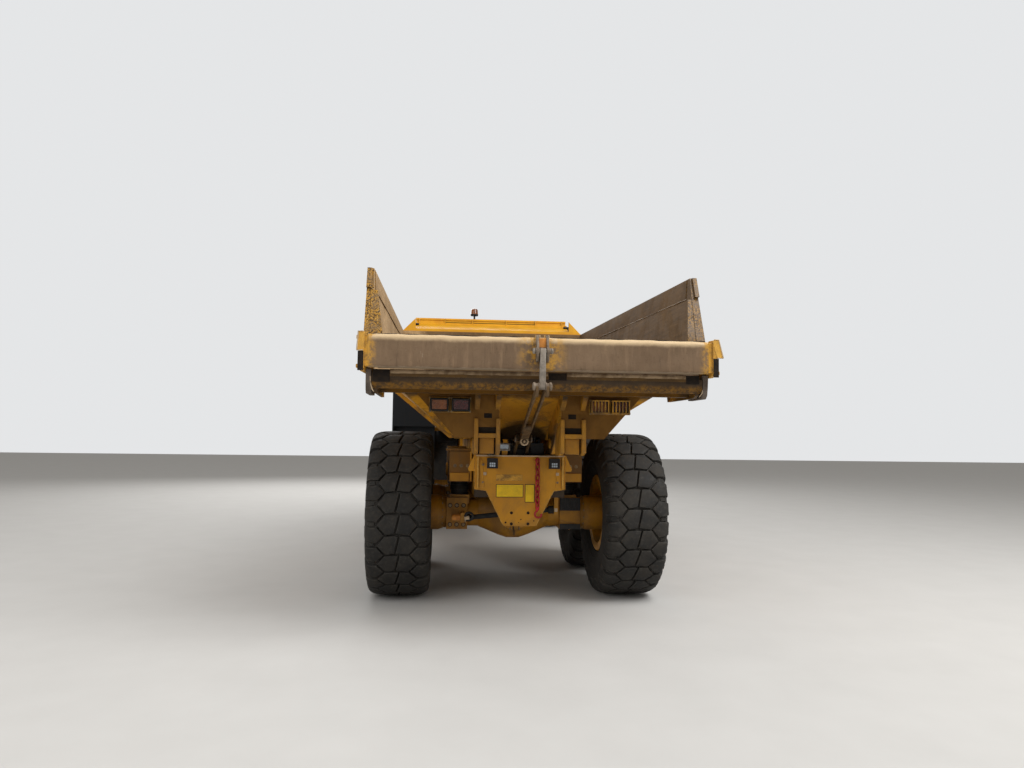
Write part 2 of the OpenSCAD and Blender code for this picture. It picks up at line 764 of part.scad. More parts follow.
module cab_interior() {
    base = cab_base_z + cab_t;
    color(dark) {
        slab(x_front - 720, x_front - 280, -220, 220, base, base + 340);
        slab(x_front - 740, x_front - 220, -250, 250, base + 340, base + 460);
        side_plate([[x_front - 740, base + 460], [x_front - 620, base + 460], [x_front - 720, base + 1130],
                    [x_front - 830, base + 1130]], -240, 240);
        side_plate([[cab_front - cab_t, base], [cab_front - cab_t, base + 560], [cab_front - 260, base + 620],
                    [cab_front - 330, base + 520], [cab_front - 200, base]], -560, 560);
        translate([cab_front - 300, 0, base + 560]) rotate([0, -38, 0]) {
            cylinder(h = 120, r = 30);
            translate([0, 0, 120]) rotate_extrude() translate([190, 0]) circle(r = 18);
            translate([-190, -20, 108]) cube([380, 40, 22]);
        }
    }
}

// Fenders, boxes and access

fender_half = fender_w / 2;
fender_in = cab_half + 40;
fender_top = cab_base_z + 40;
arch = tyre_r + 105;

module fender() {
    // Platform beside the cab and the hood
    slab(cab_rear + 15, x_front + arch + 430, fender_in, fender_half, cab_base_z, fender_top);
    // Panels behind and in front of the wheel
    slab(x_front - arch - 26, x_front - arch, fender_in, fender_half, 1180, cab_base_z);
    slab(x_front + arch, x_front + arch + 26, fender_in, fender_half, 1180, cab_base_z);
    // Skirt along the outer edge
    side_plate([
        [cab_rear + 15, fender_top], [cab_rear + 15, 1420], [x_front - arch - 26, 1180], [x_front - arch, 1180],
        [x_front - arch + 90, 1520], [x_front - arch + 330, cab_base_z - 50], [x_front + arch - 330, cab_base_z - 50],
        [x_front + arch - 90, 1520], [x_front + arch, 1180], [x_front + arch + 26, 1180],
        [x_front + arch + 26, fender_top]
    ], fender_half - 20, fender_half);
}

// Battery and oil boxes behind the wheels, as high as the cab's waist
module side_box() {
    side_plate([
        [cab_rear + 15, fender_top - 5], [cab_rear + 15, 2300], [cab_rear + 65, 2350],
        [cab_rear + 400, 2350], [cab_rear + 460, 2290], [cab_rear + 460, fender_top - 5]
    ], fender_in, fender_half);
}

module fenders() {
    color(slate) both_sides() {
        fender();
        side_box();
    }
}

rail_h_over = 620;
rail_x0 = x_front + 340;
rail_x1 = x_front + 860;
step_x = x_front + arch + 60;
step_y0 = fender_in + 90;
step_y1 = fender_half - 30;

module steps() {
    color(dark) both_sides() {
        for (y = [step_y0, step_y1 - 24])
            side_plate([[step_x, cab_base_z], [step_x + 60, 460], [step_x + 330, 460], [step_x + 350, cab_base_z]],
                y, y + 24);
        for (z = [470, 790, 1110, 1430])
            slab(step_x + 50, step_x + 330, step_y0 + 20, step_y1 - 20, z, z + 36);
        // Handrail along the platform's outer edge
        for (x = [rail_x0, rail_x1])
            translate([x, fender_half - 40, fender_top]) cylinder(h = rail_h_over, r = 17);
        for (z = [rail_h_over / 2, rail_h_over])
            bar_between([rail_x0, fender_half - 40, fender_top + z], [rail_x1, fender_half - 40, fender_top + z], 16);
    }
}

module mirrors() {
    x = x_front + arch + 300;
    color(dark) both_sides() {
        translate([x, fender_half - 90, fender_top]) cylinder(h = 1180, r = 24);
        translate([x, fender_half - 380, fender_top]) cylinder(h = 700, r = 20);
        y_bar(x, fender_top + 690, 20, fender_half - 380, fender_half - 90);
        slab(x + 26, x + 90, fender_half - 230, fender_half - 10, fender_top + 660, fender_top + 1120);
        slab(x - 10, x + 30, fender_half - 110, fender_half - 70, fender_top + 860, fender_top + 940);
    }
}

module exhaust() {
    color(dark) translate([x_front + 700, -hood_w / 2 - 290, fender_top]) {
        cylinder(h = 620, r = 105);
        translate([0, 0, 620]) cylinder(h = 480, r = 62);
    }
}

// Height of the lamp's foot above the roof
beacon_rise = 222;

module beacon() {
    color("orange") translate([cab_rear + 130, 200, cab_top_z]) {
        cylinder(h = beacon_rise, r = 14);
        translate([0, 0, beacon_rise]) cylinder(h = 24, r = 64);
        translate([0, 0, beacon_rise + 24]) cylinder(h = 96, r1 = 60, r2 = 48);
    }
}

module front_lamps() {
    color("white") both_sides() for (y = [700, 880])
        slab(x_nose - 260, x_nose - 150, y - 78, y + 78, 1060, 1210);
}

// Load body

body_half = body_w / 2;
ear_in = 250;
ear_out = 460;
ear_t = 40;
body_beam_z = rail_top_z + 6;
x_bulkhead = x_rear - 1440;
x_lip = x_rear - 2050;
x_head = x_rear + 3200;
top_slope = (top_front_z - top_rear_z) / 5100;
function top_z(x) = top_rear_z + top_slope * (x - x_rear + 1700);

// Stations from the rear lip to the headboard: distance from the rear axle, forward lean,
// underside height and half width of the floor, height and half width of the knee
stations = [
    [-2050, 0.43, floor_z + 455, body_half - 70, floor_z + 540, body_half - 36],
    [-1440, 0.30, floor_z + 375, body_half - 270, floor_z + 550, body_half - 48],
    [-500, 0.10, floor_z, body_half - 710, floor_z + 535, body_half - 70],
    [1500, 0, floor_z, body_half - 750, floor_z + 590, body_half - 85],
    [3200, 0.06, floor_z, body_half - 770, floor_z + 700, body_half - 100]
];

// A point of a station, shifted forward with its height
function lean_point(s, y, z) = [x_rear + s[0] + s[1] * (z - s[2]), y, z];
function outer_half(s) = let (z = top_z(x_rear + s[0] + s[1] * (top_rear_z - s[2])))
    [[body_half, z], [s[5], s[4]], [s[3], s[2]]];
function inner_half(s) = let (o = outer_half(s))
    [[o[0][0] - side_t, o[0][1]], [o[1][0] - side_t, o[1][1] + side_t * 0.4],
     [o[2][0] - floor_t * 0.4, o[2][1] + floor_t]];
function section(s, h) = concat(
    [for (p = h) lean_point(s, p[0], p[1])],
    [for (i = [len(h) - 1 : -1 : 0]) lean_point(s, -h[i][0], h[i][1])]);
function trough(s) = concat(section(s, outer_half(s)),
    [for (i = [0 : 5]) let (q = section(s, inner_half(s))) q[5 - i]]);

module body_skin() {
    loft([for (s = stations) trough(s)]);
}

// Outline halfway through the walls, which the headboard fills
function mid_half(s) = let (o = outer_half(s))
    [[o[0][0] - side_t / 2, o[0][1] - 5], [o[1][0] - side_t / 2, o[1][1]], [o[2][0] - 8, o[2][1] + floor_t / 2]];

module headboard() {
    lean = stations[len(stations) - 1][1];
    rise = top_front_z + 200 - floor_z;
    intersection() {
        loft([for (s = stations) section(s, mid_half(s))]);
        side_plate([[x_head - 46, floor_z], [x_head - 8, floor_z], [x_head - 8 + lean * rise, floor_z + rise],
                    [x_head - 46 + lean * rise, floor_z + rise]], -body_half, body_half);
    }
}

guard_half = 1120;

// A station between two of the table's, at the distance d from the rear axle
function between(a, b, d) = a + (b - a) * (d - a[0]) / (b[0] - a[0]);
function station_at(d) = d < 1500 ? between(stations[2], stations[3], d) : between(stations[3], stations[4], d);

// Section of a side rib: out from the wall, and back just inside it
function rib_section(s, side) = let (o = outer_half(s), w = rib_out)
    [for (p = [
        [o[0][0] + 24, o[0][1] - rail_h + 12], [o[1][0] + w, o[1][1] - 14], [o[2][0] + w, o[2][1] + 4],
        [o[2][0] + 4, o[2][1] + 12], [o[1][0] - 8, o[1][1]], [o[0][0] - 8, o[0][1] - rail_h + 12]
    ]) lean_point(s, side * p[0], p[1])];
rib_out = 52;
rib_w = 90;

// Ribs on the outside of the walls, at these distances from the rear axle
module ribs() {
    for (d = [-300, 620, 1540, 2460]) {
        loft([rib_section(station_at(d), 1), rib_section(station_at(d + rib_w), 1)]);
        mirror([0, 1, 0]) loft([rib_section(station_at(d), 1), rib_section(station_at(d + rib_w), 1)]);
    }
}

// Flanges on the rear edges of the walls, as [height, reach inwards]
rear_flange = [[gate_z + gate_h + 20, 118], [2690, 62], [2690.5, 34], [top_rear_z + 4, 10]];
lean_rear = 0.43;

// Sloped shoulders and the guard that reaches over the cab's rear edge
module spill_guard() {
    cross_plate([
        [-body_half, top_front_z - 60], [body_half, top_front_z - 60], [body_half, top_front_z - 8],
        [guard_half + 90, top_front_z + 28], [-guard_half - 90, top_front_z + 28], [-body_half, top_front_z - 8]
    ], x_head + 58, x_head + 90);
    // Plate that rises from the headboard to the folded beam
    side_plate([
        [x_head + 62, top_front_z - 4], [x_head + 62, top_front_z + 22], [x_head + 420, guard_z - 84],
        [x_head + 420, guard_z], [x_head + 760, guard_z], [x_head + 780, guard_z - 20],
        [x_head + 780, guard_z - 60], [x_head + 760, guard_z - 60], [x_head + 750, guard_z - 24],
        [x_head + 444, guard_z - 24], [x_head + 444, guard_z - 110]
    ], -guard_half, guard_half);
    both_sides() cross_plate([[guard_half - 8, top_front_z], [body_half - 20, top_front_z - 6], [guard_half - 8, guard_z - 60]],
        x_head + 60, x_head + 88);
    for (y = [-900, -300, 300, 900])
        side_plate([[x_head + 70, top_front_z - 40], [x_head + 70, top_front_z + 10], [x_head + 440, guard_z - 96],
                    [x_head + 700, guard_z - 14], [x_head + 700, guard_z - 60]], y - 12, y + 12);
}

module body_ear(y0) {
    side_plate([
        [x_bulkhead - 160, 1945], [x_bulkhead - 160, 1890], [x_tip - 100, tip_z - 60], [x_tip - 60, tip_z - 88],
        [x_tip + 40, tip_z - 88], [x_tip + 95, tip_z - 20], [x_tip + 200, 1630], [x_tip, 1708], [x_bulkhead, 1925]
    ], y0, y0 + ear_t);
    y_bar(x_tip, tip_z, 96, y0, y0 + ear_t);
}

module dump_body() {
    color(paint) {
        difference() {
            union() {
                body_skin();
                headboard();
                spill_guard();
                // Rails along the top edges, flanges along the rear edges
                both_sides() {
                    side_plate([
                        [x_rear - 1762, top_rear_z - rail_h], [x_rear - 1690, top_z(x_rear - 1690)],
                        [x_head + 115, top_z(x_head + 115)], [x_head + 115, top_z(x_head + 115) - rail_h]
                    ], body_half - 6, body_half + 28);
                    loft([for (f = rear_flange) let (x = x_rear - 1660 - lean_rear * (top_rear_z - f[0]))
                        [[x, body_half - f[1], f[0]], [x + 26, body_half - f[1], f[0]],
                         [x + 26, body_half + 26, f[0]], [x, body_half + 26, f[0]]]]);
                }
                // Lip under the tailgate
                slab(x_lip - 25, x_lip + 30, -1120, 1120, floor_z + 460, floor_z + 515);
                // Bulkhead with the lamps and the webs behind it
                both_sides() cross_plate([[ear_in + 10, 1915], [ear_in + 10, 1600], [ear_out, 1545], [620, 1545],
                                          [950, 1915]], x_bulkhead - 12, x_bulkhead + 12);
                // Side plates of the chute, which hang below its floor
                both_sides() side_plate([
                    [x_lip + 22, 2010], [x_lip + 22, 1925], [x_lip + 40, 1890], [x_lip + 80, 1872],
                    [x_bulkhead + 150, 1872], [x_bulkhead + 190, 2010]
                ], body_half - 98, body_half - 72);
                slab(x_lip + 190, x_lip + 250, -body_half + 90, body_half - 90, 1885, 1955);
                ribs();
                both_sides() side_plate([[x_bulkhead, 1910], [x_bulkhead, 1545], [x_rear - 480, 1545],
                                         [x_rear - 480, 1550], [x_rear - 520, 1550]], 570, 594);
                // Beams under the floor
                both_sides() slab(x_rear - 560, x_head - 60, rail_in, rail_out, body_beam_z, floor_z + 10);
                both_sides() {
                    body_ear(ear_in);
                    body_ear(ear_out - ear_t);
                    slab(x_tip - 290, x_tip - 250, ear_in + 10, ear_out - 10, 1600, 1800);
                    // Lugs of the hoist rod
                    for (y = [-1, 1]) {
                        side_plate([[x_eye - 62, z_eye], [x_eye + 62, z_eye], [x_eye + 130, floor_z + 10],
                                    [x_eye - 130, floor_z + 10]], hoist_y + y * 62 - 11, hoist_y + y * 62 + 11);
                        y_bar(x_eye, z_eye, 62, hoist_y + y * 62 - 11, hoist_y + y * 62 + 11);
                    }
                    // Pin of the tailgate arm
                    y_bar(x_rear - gate_pivot_back, gate_pivot_z, 62, body_half - 70, arm_y0 - 6);
                    y_bar(x_rear - gate_pivot_back, gate_pivot_z, gate_pin_r, body_half - 70, arm_y1 + 16);
                }
            }
            both_sides() y_bar(x_tip, tip_z, tip_pin_r + run_gap, ear_in - 20, ear_out + 20);
        }
    }
}

gate_pin_r = 28;
x_eye = x_rear + 650;
z_eye = 1385;

lamp_ys = [576, 752];
lamp_half = 72;
lamp_z0 = 1762;
lamp_z1 = 1862;
bar_pitch = 28;

// Tail lamps, those on the right behind upright bars
module rear_lamps() {
    color("darkred") {
        both_sides() for (y = lamp_ys) {
            slab(x_bulkhead - 42, x_bulkhead - 12, y - lamp_half, y + lamp_half, lamp_z0, lamp_z1);
            slab(x_bulkhead - 54, x_bulkhead - 40, y - lamp_half + 12, y + lamp_half - 12, lamp_z0 + 12, lamp_z1 - 12);
        }
        for (y = lamp_ys) {
            for (z = [lamp_z0 - 6, lamp_z1 - 4])
                slab(x_bulkhead - 76, x_bulkhead - 30, -y - lamp_half - 4, -y + lamp_half + 4, z, z + 10);
            for (i = [-2.5 : 2.5])
                slab(x_bulkhead - 76, x_bulkhead - 66, -y + i * bar_pitch - 6, -y + i * bar_pitch + 6, lamp_z0, lamp_z1);
        }
    }
}

// Tailgate

gate_in = x_rear - 2092;
gate_top = gate_z + gate_h;
arm_y0 = body_half - 8;
arm_y1 = body_half + 52;
link_x = x_rear - 2195;
link_z = gate_z + 140;
link_pin_r = 25;
tee_x = x_rear - 2180;
tee_z = 1930;

module tailgate() {
    color(worn) {
        side_plate([
            [gate_in, gate_z + 4], [gate_in - 30, gate_z], [gate_in - 56, gate_z + 14], [gate_in - 58, gate_top - 34],
            [gate_in - 44, gate_top - 8], [gate_in - 20, gate_top], [gate_in, gate_top - 10]
        ], 30 - body_half, body_half - 30);
        both_sides() difference() {
            union() {
                side_plate([
                    [gate_in - 66, gate_z - 10], [gate_in - 70, gate_top + 6], [gate_in + 20, gate_top + 10],
                    [x_rear - gate_pivot_back, gate_pivot_z + 70], [x_rear - gate_pivot_back, gate_pivot_z - 70],
                    [gate_in + 30, gate_z - 24]
                ], arm_y0, arm_y1);
                y_bar(x_rear - gate_pivot_back, gate_pivot_z, 70, arm_y0, arm_y1);
                slab(gate_in - 56, gate_in, body_half - 40, arm_y0 + 5, gate_z + 6, gate_top - 12);
            }
            y_bar(x_rear - gate_pivot_back, gate_pivot_z, gate_pin_r + run_gap, arm_y0 - 5, arm_y1 + 5);
        }
        // Ears of the link
        both_sides() difference() {
            side_plate([
                [gate_in - 50, gate_top + 8], [gate_in - 50, gate_z + 60], [link_x - 10, link_z - 34],
                [x_rear - rear_overhang, link_z - 12], [x_rear - rear_overhang, link_z + 22],
                [link_x, link_z + 60], [gate_in - 70, gate_top + 14]
            ], 22, 46);
            y_bar(link_x, link_z, 15 + run_gap, 15, 50);
        }
    }
}

module gate_link() {
    color(steel) {
        difference() {
            bar_plate([link_x, link_z], [tee_x, tee_z], 24, 30, -16, 16);
            y_bar(tee_x, tee_z, 16, -20, 20);
        }
        y_bar(link_x, link_z, 15, -54, 54);
    }
}

module gate_rod() {
    a = [tee_x, tee_z];
    b = [ball_x, ball_z];
    color(dark) difference() {
        union() {
            both_sides() {
                bar_plate(a, a + (b - a) * 0.82, 30, 22, 22, 44);
            }
            bar_plate(a + (b - a) * 0.74, b, 26, 42, -36, 36);
            both_sides() y_bar(tee_x, tee_z, 20, 22, 110);
        }
        y_bar(ball_x, ball_z, 22 + run_gap, -50, 50);
    }
}

chain_y = -158;
chain_top = 1332;
links = 9;
link_pitch = 50;
link_l = 78;
link_w = 52;
link_t = 14;
// Reach of a link turned by 45 degrees from the chain's middle
link_reach = (link_w + link_t) / 2 * sin(45);

// Safety chain that hangs down the towing plate, with its hook; its links are joined, each turned from the last
module tow_chain() {
    tip = link_w / 4;
    color("crimson") translate([x_plate - run_gap - link_reach, chain_y, chain_top]) {
        for (i = [0 : links - 1])
            translate([0, 0, -i * link_pitch]) rotate([0, 0, i % 2 == 0 ? 45 : -45]) cross_plate([
                [-link_w / 2, tip - link_l / 2], [0, -link_l / 2], [link_w / 2, tip - link_l / 2],
                [link_w / 2, link_l / 2 - tip], [0, link_l / 2], [-link_w / 2, link_l / 2 - tip]
            ], -link_t / 2, link_t / 2);
        translate([0, 0, -links * link_pitch])
            cross_plate([[16, 26], [-44, -18], [-34, -62], [6, -68], [30, -32]], -10, 10);
    }
}

// Hoist cylinders, each along its line from the frame pin to the body lug

hoist_vec = [x_eye - x_hoist, z_eye - z_hoist];
hoist_len = norm(hoist_vec);
hoist_tilt = atan2(hoist_vec[1], -hoist_vec[0]);
hoist_barrel_len = hoist_len - 190;
hoist_eye_r = 56;

// Local +X runs from the frame pin towards the rod's eye
module hoist_place() {
    translate([x_hoist, 0, z_hoist]) rotate([0, hoist_tilt, 0]) mirror([1, 0, 0]) children();
}

module hoist_barrels() {
    color(paint) both_sides() hoist_place() translate([0, hoist_y, 0]) difference() {
        union() {
            translate([70, 0, 0]) rotate([0, 90, 0]) cylinder(h = hoist_barrel_len - 70, r = hoist_r);
            translate([0, 34, 0]) rotate([90, 0, 0]) cylinder(h = 68, r = 84);
            slab(0, 90, -34, 34, -60, 60);
        }
        translate([150, 0, 0]) rotate([0, 90, 0]) cylinder(h = hoist_barrel_len, r = hoist_rod_r + run_gap);
        translate([0, 40, 0]) rotate([90, 0, 0]) cylinder(h = 80, r = 52 + run_gap);
    }
}

module hoist_rods() {
    color(steel) both_sides() hoist_place() translate([0, hoist_y, 0]) {
        translate([260, 0, 0]) rotate([0, 90, 0]) cylinder(h = hoist_len - 300, r = hoist_rod_r);
        translate([hoist_len, 34, 0]) rotate([90, 0, 0]) cylinder(h = 68, r = hoist_eye_r);
    }
}

// Steering cylinders

steer_vec = [x_hitch - steer_front_x, steer_arm_y - steer_front_y];
steer_len = norm(steer_vec);
steer_turn = atan2(steer_vec[1], steer_vec[0]);
steer_barrel_len = steer_len - 290;

// Local +X runs from the front pin towards the rod's eye
module steer_place() {
    translate([steer_front_x, steer_front_y, roll_z]) rotate([0, 0, steer_turn]) children();
}

module steer_barrel() {
    color(paint) steer_place() difference() {
        union() {
            translate([62, 0, 0]) rotate([0, 90, 0]) cylinder(h = steer_barrel_len - 62, r = steer_r);
            slab(0, 70, -34, 34, -eye_half + 6, eye_half - 6);
            translate([0, 0, -eye_half + 3]) cylinder(h = 2 * eye_half - 6, r = 46);
        }
        translate([90, 0, 0]) rotate([0, 90, 0]) cylinder(h = steer_barrel_len, r = steer_rod_r + run_gap);
        translate([0, 0, -60]) cylinder(h = 120, r = steer_pin_r + run_gap);
    }
}

module steer_rod() {
    color(steel) steer_place() {
        translate([320, 0, 0]) rotate([0, 90, 0]) cylinder(h = steer_len - 340, r = steer_rod_r);
        translate([steer_len, 0, -eye_half + 3]) cylinder(h = 2 * eye_half - 6, r = 42);
    }
}

wheel_at(x_front, true) tyre();  // tyre_front_left
wheel_at(x_front, false) tyre();  // tyre_front_right
wheel_at(x_mid, true) tyre();  // tyre_mid_left
wheel_at(x_mid, false) tyre();  // tyre_mid_right
wheel_at(x_rear, true) tyre();  // tyre_rear_left
wheel_at(x_rear, false) tyre();  // tyre_rear_right
wheel_at(x_front, true) rim();  // rim_front_left
wheel_at(x_front, false) rim();  // rim_front_right
wheel_at(x_mid, true) rim();  // rim_mid_left
wheel_at(x_mid, false) rim();  // rim_mid_right
wheel_at(x_rear, true) rim();  // rim_rear_left
wheel_at(x_rear, false) rim();  // rim_rear_right
rear_frame();
rear_plate();
bogie_axles();
bogie_beams();
suspension();
front_frame();
front_axle();
hitch_yoke();
bumper();
engine();
hood();
grille();
cab_shell();
cab_glass();
cab_door();
door_glass();
cab_interior();
fenders();
steps();
mirrors();
exhaust();
beacon();
front_lamps();
dump_body();
rear_lamps();
tailgate();
gate_link();
gate_rod();
tow_chain();
hoist_barrels();
hoist_rods();
steer_barrel();  // steer_barrel_left
mirror([0, 1, 0]) steer_barrel();  // steer_barrel_right
steer_rod();  // steer_rod_left
mirror([0, 1, 0]) steer_rod();  // steer_rod_right
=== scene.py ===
import math
import random
from itertools import accumulate

import bmesh
import bpy
from mathutils import Matrix, Vector


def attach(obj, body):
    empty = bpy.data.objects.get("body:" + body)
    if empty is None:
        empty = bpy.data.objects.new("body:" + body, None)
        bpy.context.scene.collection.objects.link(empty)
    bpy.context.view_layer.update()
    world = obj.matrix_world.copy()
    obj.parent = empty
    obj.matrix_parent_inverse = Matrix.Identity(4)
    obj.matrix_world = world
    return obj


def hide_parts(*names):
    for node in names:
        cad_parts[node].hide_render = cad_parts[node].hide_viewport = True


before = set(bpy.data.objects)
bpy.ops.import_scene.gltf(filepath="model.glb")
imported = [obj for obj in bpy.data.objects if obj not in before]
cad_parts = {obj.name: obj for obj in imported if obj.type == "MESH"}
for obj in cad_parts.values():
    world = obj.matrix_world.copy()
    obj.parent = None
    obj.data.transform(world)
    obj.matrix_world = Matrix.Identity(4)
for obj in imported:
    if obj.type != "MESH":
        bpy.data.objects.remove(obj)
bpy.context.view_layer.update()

# Places of the CAD model in metres: rear, middle and front axle, nose and hitch along X
XR, XM, XF, XN, XH = -3.1375, -1.4675, 2.7075, 5.3575, 1.4975
AXLES = (("front", XF), ("mid", XM), ("rear", XR))
WHEEL_Y, AXLE_Z = 1.108, 0.8
X_PLATE, X_BULK, X_LIP, X_HEAD = XR - 0.72, XR - 1.44, XR - 2.05, XR + 3.2
GATE_IN, GATE_Z, GATE_H, LINK_Z = XR - 2.092, 2.05, 0.25, 2.19
BODY_HALF, GUARD_Z, GUARD_HALF = 1.31, 3.295, 1.12
TOP_REAR, TOP_FRONT = 2.88, 3.06
CAB_REAR, CAB_FRONT, CAB_HALF, CAB_TOP, CAB_FLOOR = XF - 1.11, XF + 0.56, 0.78, 3.318, 1.76
STEP_X = XF + 0.905
SIDES, BOTH = (("left", 1), ("right", -1)), (1, -1)
UP, BACK, AHEAD = (0, 0, 1), (-1, 0, 0), (1, 0, 0)
scene = bpy.context.scene
scene.view_settings.view_transform = "Standard"

# Camera at the photograph's angle
YAW, PITCH, ROLL = (math.radians(a) for a in (5.39, 3.87, 0.74))
CAMERA_AT = Vector((-10.9195, 0.753, 1.563))
ahead = Vector((math.cos(PITCH) * math.cos(YAW), -math.cos(PITCH) * math.sin(YAW), math.sin(PITCH)))
level = Vector((-math.sin(YAW), -math.cos(YAW), 0))
upright = level.cross(ahead)
right = level * math.cos(ROLL) + upright * math.sin(ROLL)
top = upright * math.cos(ROLL) - level * math.sin(ROLL)
camera = bpy.data.objects.new("camera", bpy.data.cameras.new("camera"))
camera.data.lens = 27.035
camera.data.sensor_width = 36
camera.data.clip_end = 200
camera.matrix_world = Matrix((right, top, -ahead)).transposed().to_4x4()
camera.location = CAMERA_AT
scene.collection.objects.link(camera)
scene.camera = camera


# Materials

class Signal:
    """A node's output; sums, differences and products of signals make math nodes."""

    def __init__(self, web, out):
        self.web, self.out = web, out

    def __add__(self, other):
        return self.web.math("ADD", self, other)

    def __mul__(self, other):
        return self.web.math("MULTIPLY", self, other)

    def __sub__(self, other):
        return self.web.math("SUBTRACT", self, other)

    def __rsub__(self, other):
        return self.web.math("SUBTRACT", other, self)


class Web:
    """Short names for the nodes of one material."""

    def __init__(self, name, specular=0.5):
        self.mat = bpy.data.materials.new(name)
        self.mat.use_nodes = True
        self.tree = self.mat.node_tree
        self.bsdf = self.tree.nodes["Principled BSDF"]
        self.put(specular, self.bsdf.inputs["Specular IOR Level"])
        self.at = self.node("TexCoord", "Object")

    def put(self, value, socket):
        if isinstance(value, Signal):
            self.tree.links.new(value.out, socket)
        else:
            socket.default_value = (*value, 1) if socket.type == "RGBA" else value

    def node(self, kind, out=0, values=(), **settings):
        """Adds a node with these input values and settings, and gives one of its outputs."""
        node = self.tree.nodes.new("ShaderNode" + kind)
        for key, value in settings.items():
            setattr(node, key, value)
        for key, value in dict(values).items():
            self.put(value, node.inputs[key])
        return Signal(self, node.outputs[out])

    def stretch(self, *scale):
        return self.node("Mapping", 0, {"Vector": self.at, "Scale": scale})

    def noise(self, scale, detail=4, rough=0.55, at=None, warp=0):
        return self.node("TexNoise", "Fac", {"Vector": at or self.at, "Scale": scale, "Detail": detail,
                                             "Roughness": rough, "Distortion": warp})

    def band(self, value, low, high, a=0.0, b=1.0):
        """Rises smoothly from a to b while the value goes from low to high."""
        return self.node("MapRange", "Result",
                         {"Value": value, "From Min": low, "From Max": high, "To Min": a,
                          "To Max": b}, interpolation_type="SMOOTHSTEP")

    def math(self, kind, a, b=0.0):
        return self.node("Math", 0, {0: a, 1: b}, operation=kind, use_clamp=kind == "ADD")

    def mix(self, factor, a, b):
        return self.node("Mix", 2, {0: factor, 6: a, 7: b}, data_type="RGBA")

    def axis(self, name):
        return self.node("SeparateXYZ", name, {0: self.at})

    def facing(self, name):
        """Part of the surface's normal along an axis, at rest."""
        return self.node("SeparateXYZ", name, {0: self.node("TexCoord", "Normal")})

    def edges(self, radius, samples=4):
        """High where the surface turns a corner."""
        turn = self.node("VectorMath", "Value",
                         {0: self.node("Bevel", 0, {"Radius": radius}, samples=samples),
                          1: self.node("NewGeometry", "Normal")}, operation="DOT_PRODUCT")
        return self.band(turn, 0.98, 0.86)

    def bump(self, height, strength, distance):
        self.put(self.node("Bump", 0, {"Strength": strength, "Distance": distance, "Height": height}),
                 self.bsdf.inputs["Normal"])

    def finish(self, color, rough, metallic=0.0):
        for key, value in (("Base Color", color), ("Roughness", rough), ("Metallic", metallic)):
            self.put(value, self.bsdf.inputs[key])
        return self.mat


DIRT, DUST, RUST = (0.07, 0.042, 0.02), (0.16, 0.1, 0.048), (0.085, 0.032, 0.012)
# Near black for painted shade
PAINTED_SHADE_BLACK = (0.012, 0.01, 0.008)


def paint_layers(w, color, deep, dirt, low, streaks, chips, seed):
    """Faded paint with dirt that grows downwards, streaks and chipped edges; gives colour and grime."""
    color = w.mix(w.band(w.noise(1.1 + seed, 5, 0.6), 0.32, 0.7), color, deep)
    color = w.mix(w.band(w.noise(7, 6, 0.65), 0.5, 0.75, 0, 0.35), color, deep)
    smear = w.band(w.noise(1, 6, 0.62, w.stretch(26, 26, 1.3)), 0.52, 0.78) * streaks
    height = w.band(w.axis("Z"), *low, 1.0, 0.1)
    film = w.band(w.noise(3.4, 9, 0.72, warp=0.6), 0.56, 0.4) * height * dirt
    speck = w.band(w.noise(85, 3, 0.6), 0.62, 0.7) * (height * dirt)
    grime = film + smear * 0.45 + speck * 0.55
    color = w.mix(grime, color, w.mix(w.noise(38, 6, 0.7), DIRT, DUST))
    edge = w.edges(0.012) * w.band(w.noise(24, 6, 0.75), 0.42, 0.6)
    return w.mix(edge * chips, color, w.mix(w.noise(60, 3), RUST, (0.13, 0.1, 0.075))), grime


def lacquer(w, color, grime, rough):
    w.bump(w.noise(38, 6, 0.7) * 0.3 + grime, 0.25, 0.002)
    return w.finish(color, grime * 0.45 + rough)


def painted(name, color, deep, rough=0.4, dirt=0.5, low=(0.3, 1.6), chips=0.35, streaks=0.4, seed=0.0):
    w = Web(name, 0.3)
    return lacquer(w, *paint_layers(w, color, deep, dirt, low, streaks, chips, seed), rough)


def scoured(w, pale, dark, streak=(3, 34, 34)):
    """Steel that loads have scoured to grey brown, with scratches along one way."""
    color = w.mix(w.band(w.noise(1.9, 7, 0.66), 0.34, 0.68), pale, dark)
    lines = w.noise(1, 5, 0.62, w.stretch(*streak))
    color = w.mix(w.band(lines, 0.5, 0.74, 0, 0.55), color, [1.45 * c for c in pale])
    color = w.mix(w.band(lines, 0.44, 0.3, 0, 0.45), color, [0.6 * c for c in dark])
    return w.mix(w.band(w.noise(48, 5, 0.7), 0.55, 0.72, 0, 0.4), color, DIRT)


